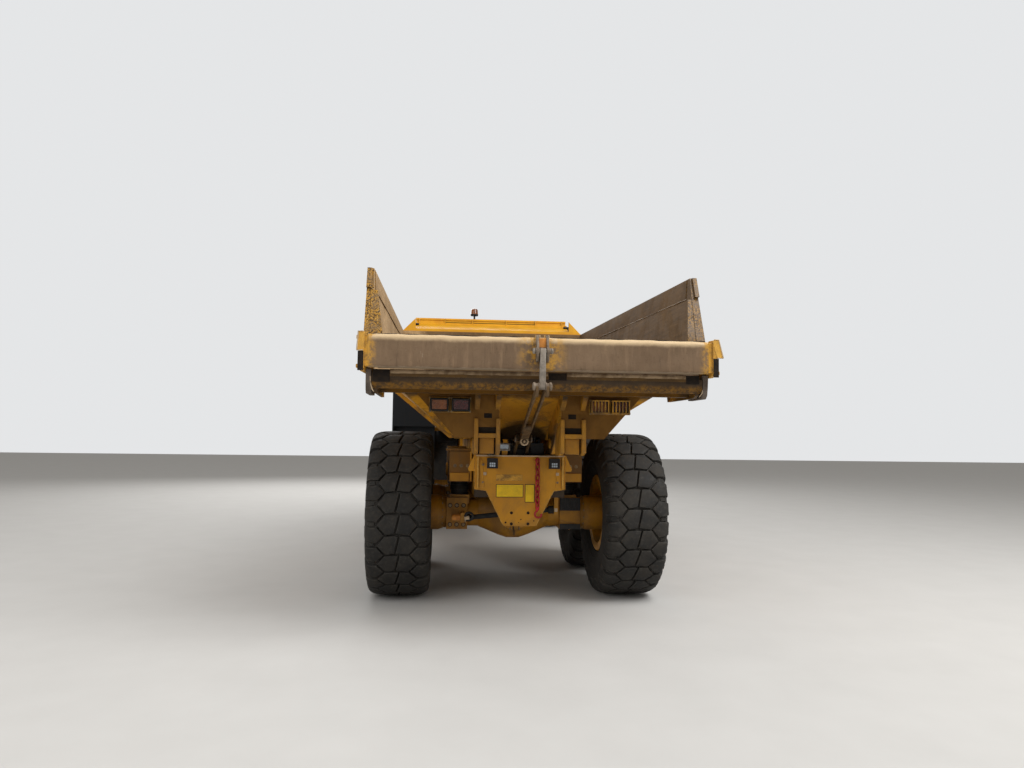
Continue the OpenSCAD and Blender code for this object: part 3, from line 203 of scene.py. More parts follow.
def body_material(name):
    """Load body: paint, steel scoured by the load, mud and painted shade under the chute, rust on the
    flanges, painted shade on the bulkhead, the arch and the right flange, and painted light on the left wall
    and the top.
    """
    w = Web(name, 0.25)
    color, grime = paint_layers(w, (0.6, 0.285, 0.014), (0.45, 0.195, 0.012), 0.75, (1.5, 3.6), 0.6, 0.8,
                                0.2)
    x, y, z = (w.axis(a) for a in "XYZ")
    nx, ny, nz = (w.facing(a) for a in "XYZ")
    apart, rearward = w.math("ABSOLUTE", y), w.band(nx, -0.5, -0.7)
    # Height of the floor along the body
    chute = 1.545 - 0.399 * (0.5 - XR) - x * 0.399
    tail = 1.92 + 0.131 * (XR - 1.44) - x * 0.131
    line = w.math("MAXIMUM", w.math("MINIMUM", chute, tail), 1.545)
    walls = w.band(y * ny, -0.03, -0.2)
    floor = w.band(nz, 0.45, 0.6) * w.band(z, 2.75, 2.6)
    head = rearward * (w.band(x, X_HEAD - 0.08, X_HEAD - 0.05) * w.band(z, TOP_FRONT, TOP_FRONT - 0.02))
    inside = w.band(z - line, -0.004, 0.008) * w.math("MAXIMUM", walls, w.math("MAXIMUM", floor, head))
    # Cleaner, lighter paint on the top rim and the spill guard: the cleaner paint is real, the lighter tone
    # is painted light where they face the sky
    clean_paint_and_painted_light = w.mix(w.band(w.noise(5, 6, 0.6), 0.3, 0.7), (0.76, 0.385, 0.016), (0.62, 0.29, 0.014))
    color = w.mix(w.band(z, TOP_FRONT - 0.05, TOP_FRONT + 0.03, 0, 0.85), color, clean_paint_and_painted_light)
    # Steel scoured by the load inside; the left wall's inner face takes a lighter copy as painted light, the
    # right wall and the floor keep the darker one
    steel = scoured(w, (0.17, 0.102, 0.045), (0.118, 0.07, 0.031))
    painted_lit_steel = scoured(w, (0.47, 0.315, 0.165), (0.35, 0.225, 0.11))
    color = w.mix(inside, color, w.mix(w.band(y, 0.9, 1.1), steel, painted_lit_steel))
    # Painted shade on the bulkhead, and darker painted shadow on the arch between the ears
    bulkhead = rearward * (w.band(x, X_BULK + 0.05, X_BULK + 0.02) * w.band(z, 1.935, 1.915))
    color = w.mix(bulkhead * 0.9, color,
                  w.mix(w.noise(6, 7, 0.7), (0.175, 0.074, 0.004), (0.092, 0.04, 0.004)))
    arch = w.band(z - (1.69 - y * y * 1.6), 0.02, -0.03) * (
        w.band(apart, 0.262, 0.248) * w.band(x, X_BULK - 0.1, X_BULK + 0.1))
    color = w.mix(arch * 0.93, color, (0.016, 0.011, 0.007))
    # Under the chute, painted shade with patches of mud on the down-facing paint; mud and worn paint on the
    # lip and at its corners
    under = w.band(nz, -0.2, -0.4) * (w.band(x, X_BULK + 0.1, X_BULK) * w.band(z, 1.84, 1.87))
    patches = w.band(w.noise(9, 9, 0.75, w.stretch(1, 0.5, 1), 0.5), 0.44, 0.56)
    color = w.mix(under * 0.95, color, w.mix(patches, (0.135, 0.059, 0.005), (0.034, 0.02, 0.009)))
    lip = w.band(x, X_LIP + 0.05, X_LIP + 0.02) * w.band(z, 2.06, 2.05)
    color = w.mix(lip * 0.9, color, w.mix(w.noise(16, 7, 0.7), (0.03, 0.018, 0.009), (0.085, 0.046, 0.014)))
    corner = w.band(x, X_LIP + 0.6, X_LIP + 0.45) * (w.band(z, 2.03, 2.01) * w.band(apart, 1.1, 1.18))
    color = w.mix(corner * 0.85, color,
                  w.mix(w.noise(14, 7, 0.75), (0.035, 0.02, 0.01), (0.105, 0.055, 0.014)))
    # Rust and pale chips on the rear flanges
    rear = rearward * (w.band(x, XR - 1.55, XR - 1.6) * w.band(z, 2.28, 2.32))
    flange = w.mix(w.band(w.noise(78, 5, 0.75), 0.48, 0.51), (0.045, 0.024, 0.012), (0.4, 0.205, 0.026))
    flange = w.mix(w.band(w.noise(120, 3, 0.6), 0.6, 0.64, 0, 0.8), flange, (0.52, 0.36, 0.17))
    flange = w.mix(w.band(w.noise(7, 6, 0.7), 0.46, 0.6, 0, 0.6), flange, (0.17, 0.115, 0.065))
    # The right flange is darkened as painted shade
    flange = w.mix(w.band(y, -0.9, -1.1, 0, 0.5), flange, (0.055, 0.032, 0.016))
    w.bump(w.noise(30, 7, 0.75) * 0.6 + grime, 0.35, 0.003)
    return w.finish(w.mix(rear, color, flange), grime * 0.4 + w.band(inside, 0, 1, 0.42, 0.8))


def gate_material(name):
    """Tailgate face: grey brown steel with a painted highlight along the top edge, and paint left by the
    ends and bracket.
    """
    w = Web(name, 0.3)
    color = scoured(w, (0.172, 0.11, 0.062), (0.128, 0.08, 0.044), (22, 28, 4))
    y = w.math("ABSOLUTE", w.axis("Y"))
    height = w.axis("Z") - GATE_Z + w.noise(9, 6, 0.7) * 0.03
    # Painted highlight along the rounded top edge
    color = w.mix(w.band(height, 0.205, 0.245, 0, 0.9), color, (0.62, 0.455, 0.265))
    color = w.mix(w.band(height, 0.03, 0.018, 0, 0.55), color, (0.34, 0.26, 0.17))
    places = w.math("MAXIMUM", w.band(y, 1.19, 1.272), w.band(y, 0.22, 0.05))
    color = w.mix(places * w.band(w.noise(13, 7, 0.75), 0.42, 0.58), color, (0.47, 0.245, 0.035))
    runs = w.noise(1, 7, 0.8, w.stretch(60, 70, 9))
    color = w.mix(w.band(runs, 0.66, 0.72, 0, 0.7), color, (0.46, 0.38, 0.28))
    w.bump(w.noise(26, 7, 0.75) + w.noise(5, 3) * 0.8, 0.4, 0.004)
    return w.finish(color, w.band(w.noise(6, 5), 0.3, 0.7, 0.5, 0.75))


def frame_material(name):
    """Frame paint, darker than the towing plate's yellow as painted shade under the body, with painted shade
    on the tail behind the towing plate.
    """
    w = Web(name, 0.3)
    # A darker copy of the frame yellow: the darker tone is painted shade under the body
    color, grime = paint_layers(w, (0.42, 0.188, 0.009), (0.3, 0.13, 0.008), 0.6, (0.3, 1.8), 0.3, 0.35, 0.1)
    z, behind = w.axis("Z"), w.band(w.axis("X"), XR - 0.45, XR - 0.52)
    bracket = w.band(z, 1.352, 1.362) * (behind * w.band(w.math("ABSOLUTE", w.axis("Y")), 0.24, 0.22))
    # Painted shade, near black, on the tail below the plate's shoulder and at the bracket
    shaded = w.math("MAXIMUM", w.band(z, 1.085, 1.068) * behind, bracket)
    return lacquer(w, w.mix(shaded * 0.94, color, PAINTED_SHADE_BLACK), grime, 0.42)


def lip_material(name):
    """Mud that darkens the lip, with brown paint lower down."""
    w = Web(name, 0.25)
    brown = w.mix(w.band(w.noise(26, 8, 0.8), 0.42, 0.58), (0.2, 0.092, 0.01), (0.06, 0.034, 0.013))
    dark = w.mix(w.noise(22, 6, 0.7), (0.026, 0.016, 0.009), (0.07, 0.042, 0.02))
    ragged = w.axis("Z") - w.noise(11, 7, 0.7) * 0.05
    w.bump(w.noise(30, 7, 0.75), 0.5, 0.004)
    return w.finish(w.mix(w.band(ragged, 1.905, 1.945), brown, dark),
                    w.band(w.noise(8, 5), 0.3, 0.7, 0.6, 0.85))


def tyre_material(name):
    w = Web(name, 0.3)
    dust = w.noise(5.5, 8, 0.7)
    color = w.mix(w.band(dust, 0.35, 0.68), (0.014, 0.0134, 0.0125), (0.036, 0.032, 0.027))
    color = w.mix(w.band(w.noise(30, 6, 0.7), 0.5, 0.72) * 0.3, color, (0.09, 0.08, 0.068))
    rubbed = w.edges(0.008, 3) * w.band(w.noise(15, 5, 0.7), 0.35, 0.6, 0.25, 0.8)
    w.bump(w.noise(55, 6, 0.7) + w.noise(240, 2) * 0.4, 0.45, 0.003)
    return w.finish(w.mix(rubbed, color, (0.105, 0.094, 0.08)), w.band(dust, 0.3, 0.7, 0.66, 0.92))


def simple(name, color, deep, rough, grain=30, dust=0.3, edge=0.0, metallic=0.0):
    """Two tones of one colour with fine grain, and dust that lies on it."""
    w = Web(name, 0.5 if metallic else 0.28)
    color = w.mix(w.band(w.noise(grain, 5), 0.35, 0.65), color, deep)
    lying = w.band(w.noise(6, 8, 0.7), 0.45, 0.7) * dust
    color = w.mix(lying, color, w.mix(w.noise(44, 4), DIRT, DUST))
    if edge:
        color = w.mix(w.edges(0.006) * edge, color, [min(1, 2.2 * c + 0.05) for c in deep])
    w.bump(w.noise(grain * 5, 4, 0.6), 0.25, 0.001)
    return w.finish(color, lying * 0.5 + rough, metallic)


def lens(name, color, deep):
    """Moulded lens: fine ribs under a clear coat."""
    w = Web(name)
    w.bump(w.node("TexWave", "Fac", {"Vector": w.at, "Scale": 38}, bands_direction="Z"), 0.35, 0.002)
    w.put(0.6, w.bsdf.inputs["Coat Weight"])
    return w.finish(w.mix(w.band(w.noise(12, 4), 0.3, 0.7), color, deep),
                    w.band(w.noise(7, 6, 0.7), 0.45, 0.75, 0.12, 0.5))


def glass_material(name):
    w = Web(name)
    film = w.band(w.noise(2.6, 8, 0.7), 0.4, 0.75)
    w.put(0.82, w.bsdf.inputs["Transmission Weight"])
    w.put(1.45, w.bsdf.inputs["IOR"])
    return w.finish(w.mix(film, (0.13, 0.165, 0.175), (0.23, 0.235, 0.225)), w.band(film, 0, 1, 0.03, 0.22))


M = {
    "tyre": tyre_material("tyre rubber"),
    "body": body_material("load body"),
    "gate": gate_material("tailgate steel"),
    "frame": frame_material("frame paint"),
    "lip": lip_material("muddy lip"),
    "glass": glass_material("tinted glass"),
    "amber": lens("amber lens", (0.24, 0.066, 0.004), (0.14, 0.036, 0.003)),
    "red": lens("red lens", (0.085, 0.003, 0.003), (0.045, 0.002, 0.002)),
    "clear": lens("clear lens", (0.52, 0.53, 0.52), (0.38, 0.39, 0.38)),
    # Paints: name, colour, faded colour
    "paint": painted("frame yellow", (0.54, 0.245, 0.01), (0.42, 0.18, 0.008), streaks=0.3),
    # A darker copy of the frame yellow as painted shade, for the beams under the body
    "shade": painted("shaded yellow", (0.23, 0.1, 0.006), (0.155, 0.068, 0.005), dirt=0.7, low=(0.4, 2.2),
                     seed=0.3),
    "hood": painted("hood yellow", (0.6, 0.285, 0.014), (0.52, 0.235, 0.012), rough=0.3, dirt=0.35,
                    low=(1.2, 2.0), chips=0.15),
    "rim": painted("rim yellow", (0.66, 0.31, 0.02), (0.5, 0.22, 0.014), dirt=0.6, low=(0.2, 1.9), seed=0.4),
    "arm": painted("worn yellow", (0.66, 0.34, 0.035), (0.5, 0.25, 0.03), rough=0.5, dirt=0.8,
                   low=(1.8, 3.4), chips=0.9, streaks=0.8, seed=0.6),
    "bright": painted("bright worn yellow", (0.68, 0.385, 0.07), (0.56, 0.28, 0.036), rough=0.5, dirt=0.35,
                      low=(1.8, 3.4), chips=0.9, streaks=0.5, seed=0.9),
    "ear": painted("ear yellow", (0.44, 0.2, 0.012), (0.3, 0.132, 0.01), dirt=0.7, low=(1.0, 2.6), chips=0.8,
                   seed=0.5),
    "slate": painted("slate paint", (0.0075, 0.0105, 0.0145), (0.006, 0.0085, 0.0115), rough=0.6, dirt=0.04,
                     low=(0.5, 1.6), chips=0.1, streaks=0.15),
    # Others: name, two tones, roughness, grain, dust, worn edges, metallic
    "steel": simple("link steel", (0.23, 0.18, 0.13), (0.12, 0.09, 0.065), 0.55, 24, 0.45, 0.6),
    "black": simple("black metal", (0.011, 0.011, 0.012), (0.019, 0.0185, 0.018), 0.45, 30, 0.12),
    "rubber": simple("spring rubber", (0.01, 0.01, 0.01), (0.018, 0.017, 0.016), 0.75, 30, 0.2),
    "chrome": simple("polished rod", (0.62, 0.62, 0.63), (0.5, 0.5, 0.51), 0.14, 30, 0.08, 0, 1.0),
    "bolt": simple("bolt heads", (0.3, 0.2, 0.09), (0.16, 0.12, 0.08), 0.45, 60, 0.3, 0, 0.4),
    # Near black for dials and pockets, also used as painted shade in holes, gaps and recesses
    "socket": simple("dark holes and painted shade", (0.008, 0.0055, 0.004), (0.018, 0.011, 0.006), 0.9, 30, 0.06),
    "rod": simple("muddy rod", (0.15, 0.088, 0.036), (0.07, 0.042, 0.02), 0.6, 20, 0.5, 0.7),
    "cell": simple("lamp cells", (0.55, 0.62, 0.68), (0.4, 0.46, 0.52), 0.15, 60, 0.1),
    "grey": simple("worn grey", (0.27, 0.235, 0.195), (0.17, 0.145, 0.118), 0.5, 26, 0.3, 0.7),
    "tan": simple("tan lip", (0.3, 0.205, 0.115), (0.12, 0.075, 0.038), 0.6, 14, 0.6, 0.5),
    "cheek": simple("grey brown plate", (0.125, 0.098, 0.078), (0.06, 0.044, 0.032), 0.6, 9, 0.4, 0.7),
    "chain": simple("chain red", (0.42, 0.016, 0.022), (0.26, 0.012, 0.014), 0.35, 18, 0.25, 0.5),
    "sign": simple("sign yellow", (0.78, 0.5, 0.01), (0.66, 0.41, 0.01), 0.4, 9),
    "mirror": simple("mirror glass", (0.7, 0.72, 0.73), (0.66, 0.68, 0.69), 0.04, 3, 0.12, 0, 1.0),
    "trim": simple("cab trim", (0.03, 0.03, 0.032), (0.045, 0.044, 0.044), 0.65, 220, 0.15),
    "seat": simple("seat cloth", (0.035, 0.037, 0.042), (0.06, 0.062, 0.068), 0.9, 400, 0.1),
    "engine": simple("engine grey", (0.1, 0.105, 0.11), (0.06, 0.062, 0.064), 0.55, 12, 0.4, 0, 0.3),
    "orange": simple("orange pin", (0.64, 0.26, 0.05), (0.46, 0.17, 0.03), 0.5, 20),
    # Pale paint for reflectors and small parts, also used as a painted highlight on the towing plate's fold
    "pale": simple("pale reflector and painted highlight", (0.55, 0.42, 0.27), (0.42, 0.31, 0.2), 0.4, 20),
    "mud": simple("hanging mud", (0.085, 0.056, 0.03), (0.04, 0.026, 0.014), 0.9, 40, 0.6),
}

# Stage and light
bpy.ops.mesh.primitive_plane_add(size=90, location=(0, 0, 0))
ground = bpy.context.object
ground.name = "floor"
w = Web("pale floor")
ground.data.materials.append(w.finish(w.mix(w.noise(2, 5), (0.5, 0.49, 0.47), (0.56, 0.55, 0.53)), 0.85))

scene.world = bpy.data.worlds.new("studio")
scene.world.use_nodes = True
tree = scene.world.node_tree
back = tree.nodes["Background"]
pale = tree.nodes.new("ShaderNodeBackground")
for node, color, strength in ((back, (1.0, 0.975, 0.94, 1), 0.42), (pale, (0.78, 0.79, 0.8, 1), 1.0)):
    node.inputs["Color"].default_value = color
    node.inputs["Strength"].default_value = strength
rays = tree.nodes.new("ShaderNodeLightPath")
either = tree.nodes.new("ShaderNodeMath")
either.operation = "MAXIMUM"
choose = tree.nodes.new("ShaderNodeMixShader")
for out, socket in ((rays.outputs["Is Camera Ray"], either.inputs[0]), (back.outputs[0], choose.inputs[1]),
                    (rays.outputs["Is Transmission Ray"], either.inputs[1]),
                    (pale.outputs[0], choose.inputs[2]), (either.outputs[0], choose.inputs[0]),
                    (choose.outputs[0], tree.nodes["World Output"].inputs["Surface"])):
    tree.links.new(out, socket)

for name, place, aim, size, watts in (("key", (-9, -6, 11), (-2, 0, 1.8), 8, 1700),
                                      ("fill", (-10, 8, 6), (-3, 0, 1.5), 8, 400),
                                      ("front", (12, 3, 9), (3, 0, 1.5), 9, 1000)):
    light = bpy.data.lights.new(name, "AREA")
    light.size, light.energy = size, watts
    obj = bpy.data.objects.new(name, light)
    obj.location = place
    obj.rotation_euler = (Vector(aim) - Vector(place)).to_track_quat("-Z", "Y").to_euler()
    scene.collection.objects.link(obj)


# Mesh helpers

# What the finish of a piece is called, by its body or else by its material
BODY_SLOTS = {"tailgate": "worn_steel", "gate_link": "link_steel", "gate_rod": "link_steel",
              "dump_body": "body_paint"}
SLOTS = {"black": "black_metal", "socket": "black_metal", "rubber": "rubber", "slate": "slate_paint",
         "amber": "amber_lens", "clear": "clear_lens", "cell": "clear_lens", "chain": "chain_red",
         "trim": "cab_trim", "steel": "worn_steel", "mirror": "glass", "engine": "engine_grey",
         "hood": "hood_paint", "rim": "rim_paint", "tyre": "tyre"}


def turns(n, shift=0.0):
    return [2 * math.pi * (k + shift) / n for k in range(n)]


def arc(cx, cz, r, a0, a1, n):
    """Points on a circle from angle a0 to a1, in degrees."""
    angles = [math.radians(a0 + (a1 - a0) * k / n) for k in range(n + 1)]
    return [(cx + r * math.cos(t), cz + r * math.sin(t)) for t in angles]


def circle(center, axis, r, n, shift=0.0):
    """Points round the axis X or Y through center."""
    x, y, z = center
    return [(x + (axis == "Y") * r * math.cos(t), y + (axis == "X") * r * math.cos(t), z + r * math.sin(t))
            for t in turns(n, shift)]


def ripple(t, seed):
    """A smooth wave between about -1 and 1, without an even rhythm."""
    return (math.sin(1.7 * t + seed) + math.sin(3.9 * t + 2.1 * seed) + math.sin(9.3 * t + 4.7 * seed)) / 3


class Piece:
    """Gathers solids in one mesh, which rides on one body. Their coordinates start at x along and z up."""

    def __init__(self, name, body, key, x=0, z=0, slot=None):
        self.name, self.body, self.material, self.start = name, body, M[key], (x, 0, z)
        self.slot = slot or BODY_SLOTS.get(body) or SLOTS.get(key, "frame_paint")
        self.bm = bmesh.new()

    def skin(self, rings, closed=False):
        made = [[self.bm.verts.new(p) for p in ring] for ring in rings]
        for a, b in zip(made, made[1:] + made[:closed]):
            for j in range(len(a)):
                k = (j + 1) % len(a)
                self.bm.faces.new((a[j], a[k], b[k], b[j]))
        return made

    def rings(self, rings, closed=False):
        """Skin through rings of points, with caps unless it is closed."""
        made = self.skin(rings, closed)
        if not closed:
            self.bm.faces.new(made[0][::-1])
            self.bm.faces.new(made[-1])
        return self

    def box(self, x0, x1, y0, y1, z0, z1):
        return self.rings([[(x, y0, z0), (x, y1, z0), (x, y1, z1), (x, y0, z1)] for x in (x0, x1)])

    def block(self, center, size, turn=Matrix.Identity(3)):
        """A box of that size round center, turned by a matrix."""
        sx, sy, sz = (s / 2 for s in size)
        return self.rings([[Vector(center) + turn @ Vector((x, y, z)) for y, z in
                            ((-sy, -sz), (sy, -sz), (sy, sz), (-sy, sz))] for x in (-sx, sx)])

    def rod(self, a, b, r, n=16, r2=None):
        a, b = Vector(a), Vector(b)
        return self.lathe(a, b - a, [(0, r), ((b - a).length, r2 or r)], n)

    def lathe(self, origin, axis, profile, n=32, hole=False):
        """Turns (distance along the axis, radius) pairs round the axis."""
        axis = Vector(axis).normalized()
        u = axis.orthogonal().normalized()
        v = axis.cross(u)
        return self.rings([[Vector(origin) + axis * d + (u * math.cos(t) + v * math.sin(t)) * r
                            for t in turns(n)] for d, r in profile], hole)

    def disc(self, origin, axis, r, h, n=20):
        return self.lathe(origin, axis, [(0, r), (h, r)], n)

    def tube(self, path, r, n=8):
        """A round tube along points, with its ends closed."""
        path = [Vector(p) for p in path]
        rings, side = [], None
        for i, p in enumerate(path):
            along = (path[min(i + 1, len(path) - 1)] - path[max(i - 1, 0)]).normalized()
            side = (side - along * side.dot(along)).normalized() if side else along.orthogonal().normalized()
            other = along.cross(side)
            rings.append([p + (side * math.cos(t) + other * math.sin(t)) * r for t in turns(n)])
        return self.rings(rings)

    def plate(self, outline, axis, a, b):
        """An outline of pairs, made solid from a to b along X, Y or Z."""
        at = "XYZ".index(axis)
        return self.rings([[(*p[:at], d, *p[at:]) for p in outline] for d in (a, b)])

    def bar(self, a, b, ra, rb, y0, y1):
        """A flat bar in the X, Z plane with round ends, from a to b."""
        turn = math.degrees(math.atan2(b[1] - a[1], b[0] - a[0]))
        return self.plate(arc(*a, ra, turn + 270, turn + 90, 10) + arc(*b, rb, turn + 90, turn - 90, 10),
                          "Y", y0, y1)

    def frame(self, corners, normal, inset, thick):
        """A flat frame round four corners, laid on them and thick along the normal."""
        corners = [Vector(c) for c in corners]
        along = (corners[1] - corners[0]).normalized()
        up = (corners[3] - corners[0]).normalized()
        inner = [c + along * (inset * a) + up * (inset * b)
                 for c, (a, b) in zip(corners, ((1, 1), (-1, 1), (-1, -1), (1, -1)))]
        lift = Vector(normal).normalized() * thick
        return self.rings([corners, inner, [c + lift for c in inner], [c + lift for c in corners]], True)

    def frame_x(self, x, y0, y1, z0, z1, inset, thick, way=BACK):
        return self.frame([(x, y0, z0), (x, y1, z0), (x, y1, z1), (x, y0, z1)], way, inset, thick)

    def bolts(self, points, axis, r=0.014, h=0.012):
        """Washers with six-sided heads."""
        axis = Vector(axis).normalized()
        for p in points:
            self.disc(p, axis, r * 1.45, h * 0.25, 16)
            self.lathe(Vector(p) + axis * h * 0.2, axis, [(0, r), (h * 0.75, r), (h * 0.95, r * 0.82)], 6)
        return self

    def done(self, bevel=0.0, segments=2, smooth=35, replaces=None):
        bmesh.ops.translate(self.bm, verts=self.bm.verts, vec=self.start)
        bmesh.ops.recalc_face_normals(self.bm, faces=self.bm.faces)
        mesh = bpy.data.meshes.new(self.name)
        self.bm.to_mesh(mesh)
        self.bm.free()
        obj = bpy.data.objects.new(self.name, mesh)
        scene.collection.objects.link(obj)
        mesh.materials.append(self.material)
        if bevel:
            modifier = obj.modifiers.new("bevel", "BEVEL")
            modifier.width, modifier.segments = bevel, segments
            modifier.limit_method, modifier.angle_limit = "ANGLE", math.radians(32)
        mesh.shade_smooth()
        mesh.set_sharp_from_angle(angle=math.radians(80 if bevel else smooth))
        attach(obj, self.body)
        if replaces:
            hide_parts(replaces)
        return obj


# Materials of the CAD pieces that stay
for key, names in (
        ("paint", "rear_plate front_frame front_axle hitch_yoke hoist_barrels"),
        ("frame", "rear_frame bogie_axles"), ("shade", "bogie_beams"), ("body", "dump_body"),
        ("hood", "hood"),
        ("rubber", "suspension"), ("slate", "cab_shell cab_door fenders bumper"),
        ("glass", "cab_glass door_glass"), ("engine", "engine"),
        ("rim", " ".join(f"rim_{axle}_{label}" for axle, _ in AXLES for label, _ in SIDES)),
        ("chrome", "hoist_rods steer_rod_left steer_rod_right"),
        ("black", "steer_barrel_left steer_barrel_right mirrors steps exhaust grille")):
    for name in names.split():
        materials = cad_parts[name].data.materials
        materials.clear()
        materials.append(M[key])

# Wheels

TYRE_R, LUG_DEPTH, PITCHES = 0.8, 0.034, 26
# Surface over the lugs as (distance from the middle plane, radius), and the arc length up to each point
CROWN = [(0, 0.8), (0.09, 0.7995), (0.17, 0.797), (0.215, 0.791), (0.252, 0.779), (0.276, 0.762),
         (0.287, 0.74), (0.293, 0.71), (0.297, 0.68)]
RUN = list(accumulate([0.0] + [math.dist(*pair) for pair in zip(CROWN, CROWN[1:])]))
# Side wall and groove floor in the same way, from the crown's middle to the bead
CARCASS = [(0.0, 0.766), (0.12, 0.765), (0.19, 0.761), (0.232, 0.75), (0.256, 0.733), (0.268, 0.712),
           (0.282, 0.692), (0.292, 0.672), (0.296, 0.655), (0.299, 0.63), (0.3, 0.6), (0.299, 0.565),
           (0.2965, 0.535), (0.2965, 0.53), (0.292, 0.528), (0.29, 0.5), (0.284, 0.47), (0.279, 0.455),
           (0.281, 0.45), (0.276, 0.444), (0.266, 0.42), (0.258, 0.402), (0.2525, 0.392), (0.232, 0.384),
           (0.2225, 0.372), (0.2225, 0.33)]
# Outlines of the tread's blocks on one side, as (arc length across, pitches round)
SHOULDER = [(0.12, 0.0), (0.183, -0.375), (0.222, -0.355), (0.3, -0.31), (0.392, -0.325), (0.392, 0.325),
            (0.3, 0.31), (0.222, 0.355), (0.183, 0.375)]
TIE = [(0.205, -0.1), (0.3, -0.075), (0.375, -0.1), (0.375, 0.1), (0.3, 0.075), (0.205, 0.1)]
CENTRE = [(0.062, -0.455), (0.104, -0.47), (0.176, -0.03), (0.112, 0.43), (0.06, 0.455)]


def tread_point(s, v, depth):
    """A point of the tread: arc length s across, v in pitches round, depth below the surface."""
    way = -1 if s < 0 else 1
    i = next((k for k in range(len(RUN) - 2) if abs(s) <= RUN[k + 1]), len(RUN) - 2)
    (y0, r0), (y1, r1) = CROWN[i:i + 2]
    t = (abs(s) - RUN[i]) / (RUN[i + 1] - RUN[i])
    dy, dr = y1 - y0, r1 - r0
    size = math.hypot(dy, dr)
    r = r0 + dr * t - dy / size * depth
    angle = 2 * math.pi * v / PITCHES
    return Vector((r * math.sin(angle), way * (y0 + dy * t + dr / size * depth), r * math.cos(angle)))


def add_lug(piece, outline, shift, rnd, sink=0.0):
    """A tread block with rounded edges; more points along the outline let it follow the tyre's curve."""
    points = []
    pitch = 2 * math.pi * TYRE_R / PITCHES
    for (s0, v0), (s1, v1) in zip(outline, outline[1:] + outline[:1]):
        count = max(1, round(math.hypot(s1 - s0, (v1 - v0) * pitch) / 0.03))
        points += [(s0 + (s1 - s0) * k / count, v0 + (v1 - v0) * k / count) for k in range(count)]
    cs, cv = (sum(p[i] for p in points) / len(points) for i in (0, 1))
    wear = rnd.uniform(0, 0.0025) + sink
    steps = ((1.05, LUG_DEPTH + 0.004), (1, 0.008 + wear), (0.975, 0.002 + wear), (0.93, wear), (0.5, wear))
    made = piece.skin([[tread_point(cs + (s - cs) * scale, shift + cv + (v - cv) * scale, depth)
                        for s, v in points] for scale, depth in steps])
    tip = piece.bm.verts.new(tread_point(cs, shift + cv, wear))
    for j, vert in enumerate(made[-1]):
        piece.bm.faces.new((vert, made[-1][(j + 1) % len(points)], tip))
    piece.bm.faces.new(made[0][::-1])


for i, (axle, x) in enumerate(AXLES):
    for label, side in SIDES:
        rnd = random.Random(10 * i + side)
        piece = Piece(f"tread_{axle}_{label}", f"wheel_{axle}_{label}", "tyre")
        profile = CARCASS[::-1] + [(-y, r) for y, r in CARCASS[1:]] + [(-0.2225, 0.3185), (0.2225, 0.3185)]
        piece.rings([[(r * math.sin(a), y, r * math.cos(a)) for y, r in profile] for a in turns(104)], True)
        for k in range(PITCHES):
            for half in BOTH:
                # The groove between the two middle blocks leans over
                middle = [(half * 0.009 - 0.042 * v, v) for v in (0.445, -0.405)]
                shoulder, tie, centre = ([(half * s, v) for s, v in o] for o in (SHOULDER, TIE, CENTRE))
                add_lug(piece, middle + centre, k, rnd)
                add_lug(piece, shoulder, k + 0.5, rnd)
                add_lug(piece, tie, k, rnd, 0.021)
        place = (Matrix.Translation((x, side * WHEEL_Y, AXLE_Z))
                 @ Matrix.Rotation(0.31 * i + 0.9 * (side > 0), 4, "Y"))
        bmesh.ops.transform(piece.bm, matrix=place, verts=piece.bm.verts)
        piece.done(smooth=32, replaces=f"tyre_{axle}_{label}")

# Tailgate, from its inner face and lower edge

gate = (GATE_IN, GATE_Z)
profile = ([(0, 0.004), (-0.02, 0)] + arc(-0.038, 0.019, 0.019, 255, 180, 4)
           + [(-0.0572, h) for h in (0.05, 0.085, 0.12, 0.155, 0.19)]
           + arc(-0.029, GATE_H - 0.029, 0.029, 180, 25, 9) + [(0, GATE_H - 0.02), (0, GATE_H - 0.06)])
rings = []
for k in range(85):
    y = (BODY_HALF - 0.031) * (k / 42 - 1)
    wave = 0.0035 * ripple(4.3 * y, 0.7) - 0.003
    rings.append([(x + (0.0022 * (1 + ripple(5 * y + 14 * (z + GATE_Z), 1.3)) if x < -0.03 else 0), y,
                   z + wave * max(0, z / GATE_H) ** 3) for x, z in profile])
Piece("gate_face", "tailgate", "gate", *gate).rings(rings).done(smooth=40, replaces="tailgate")

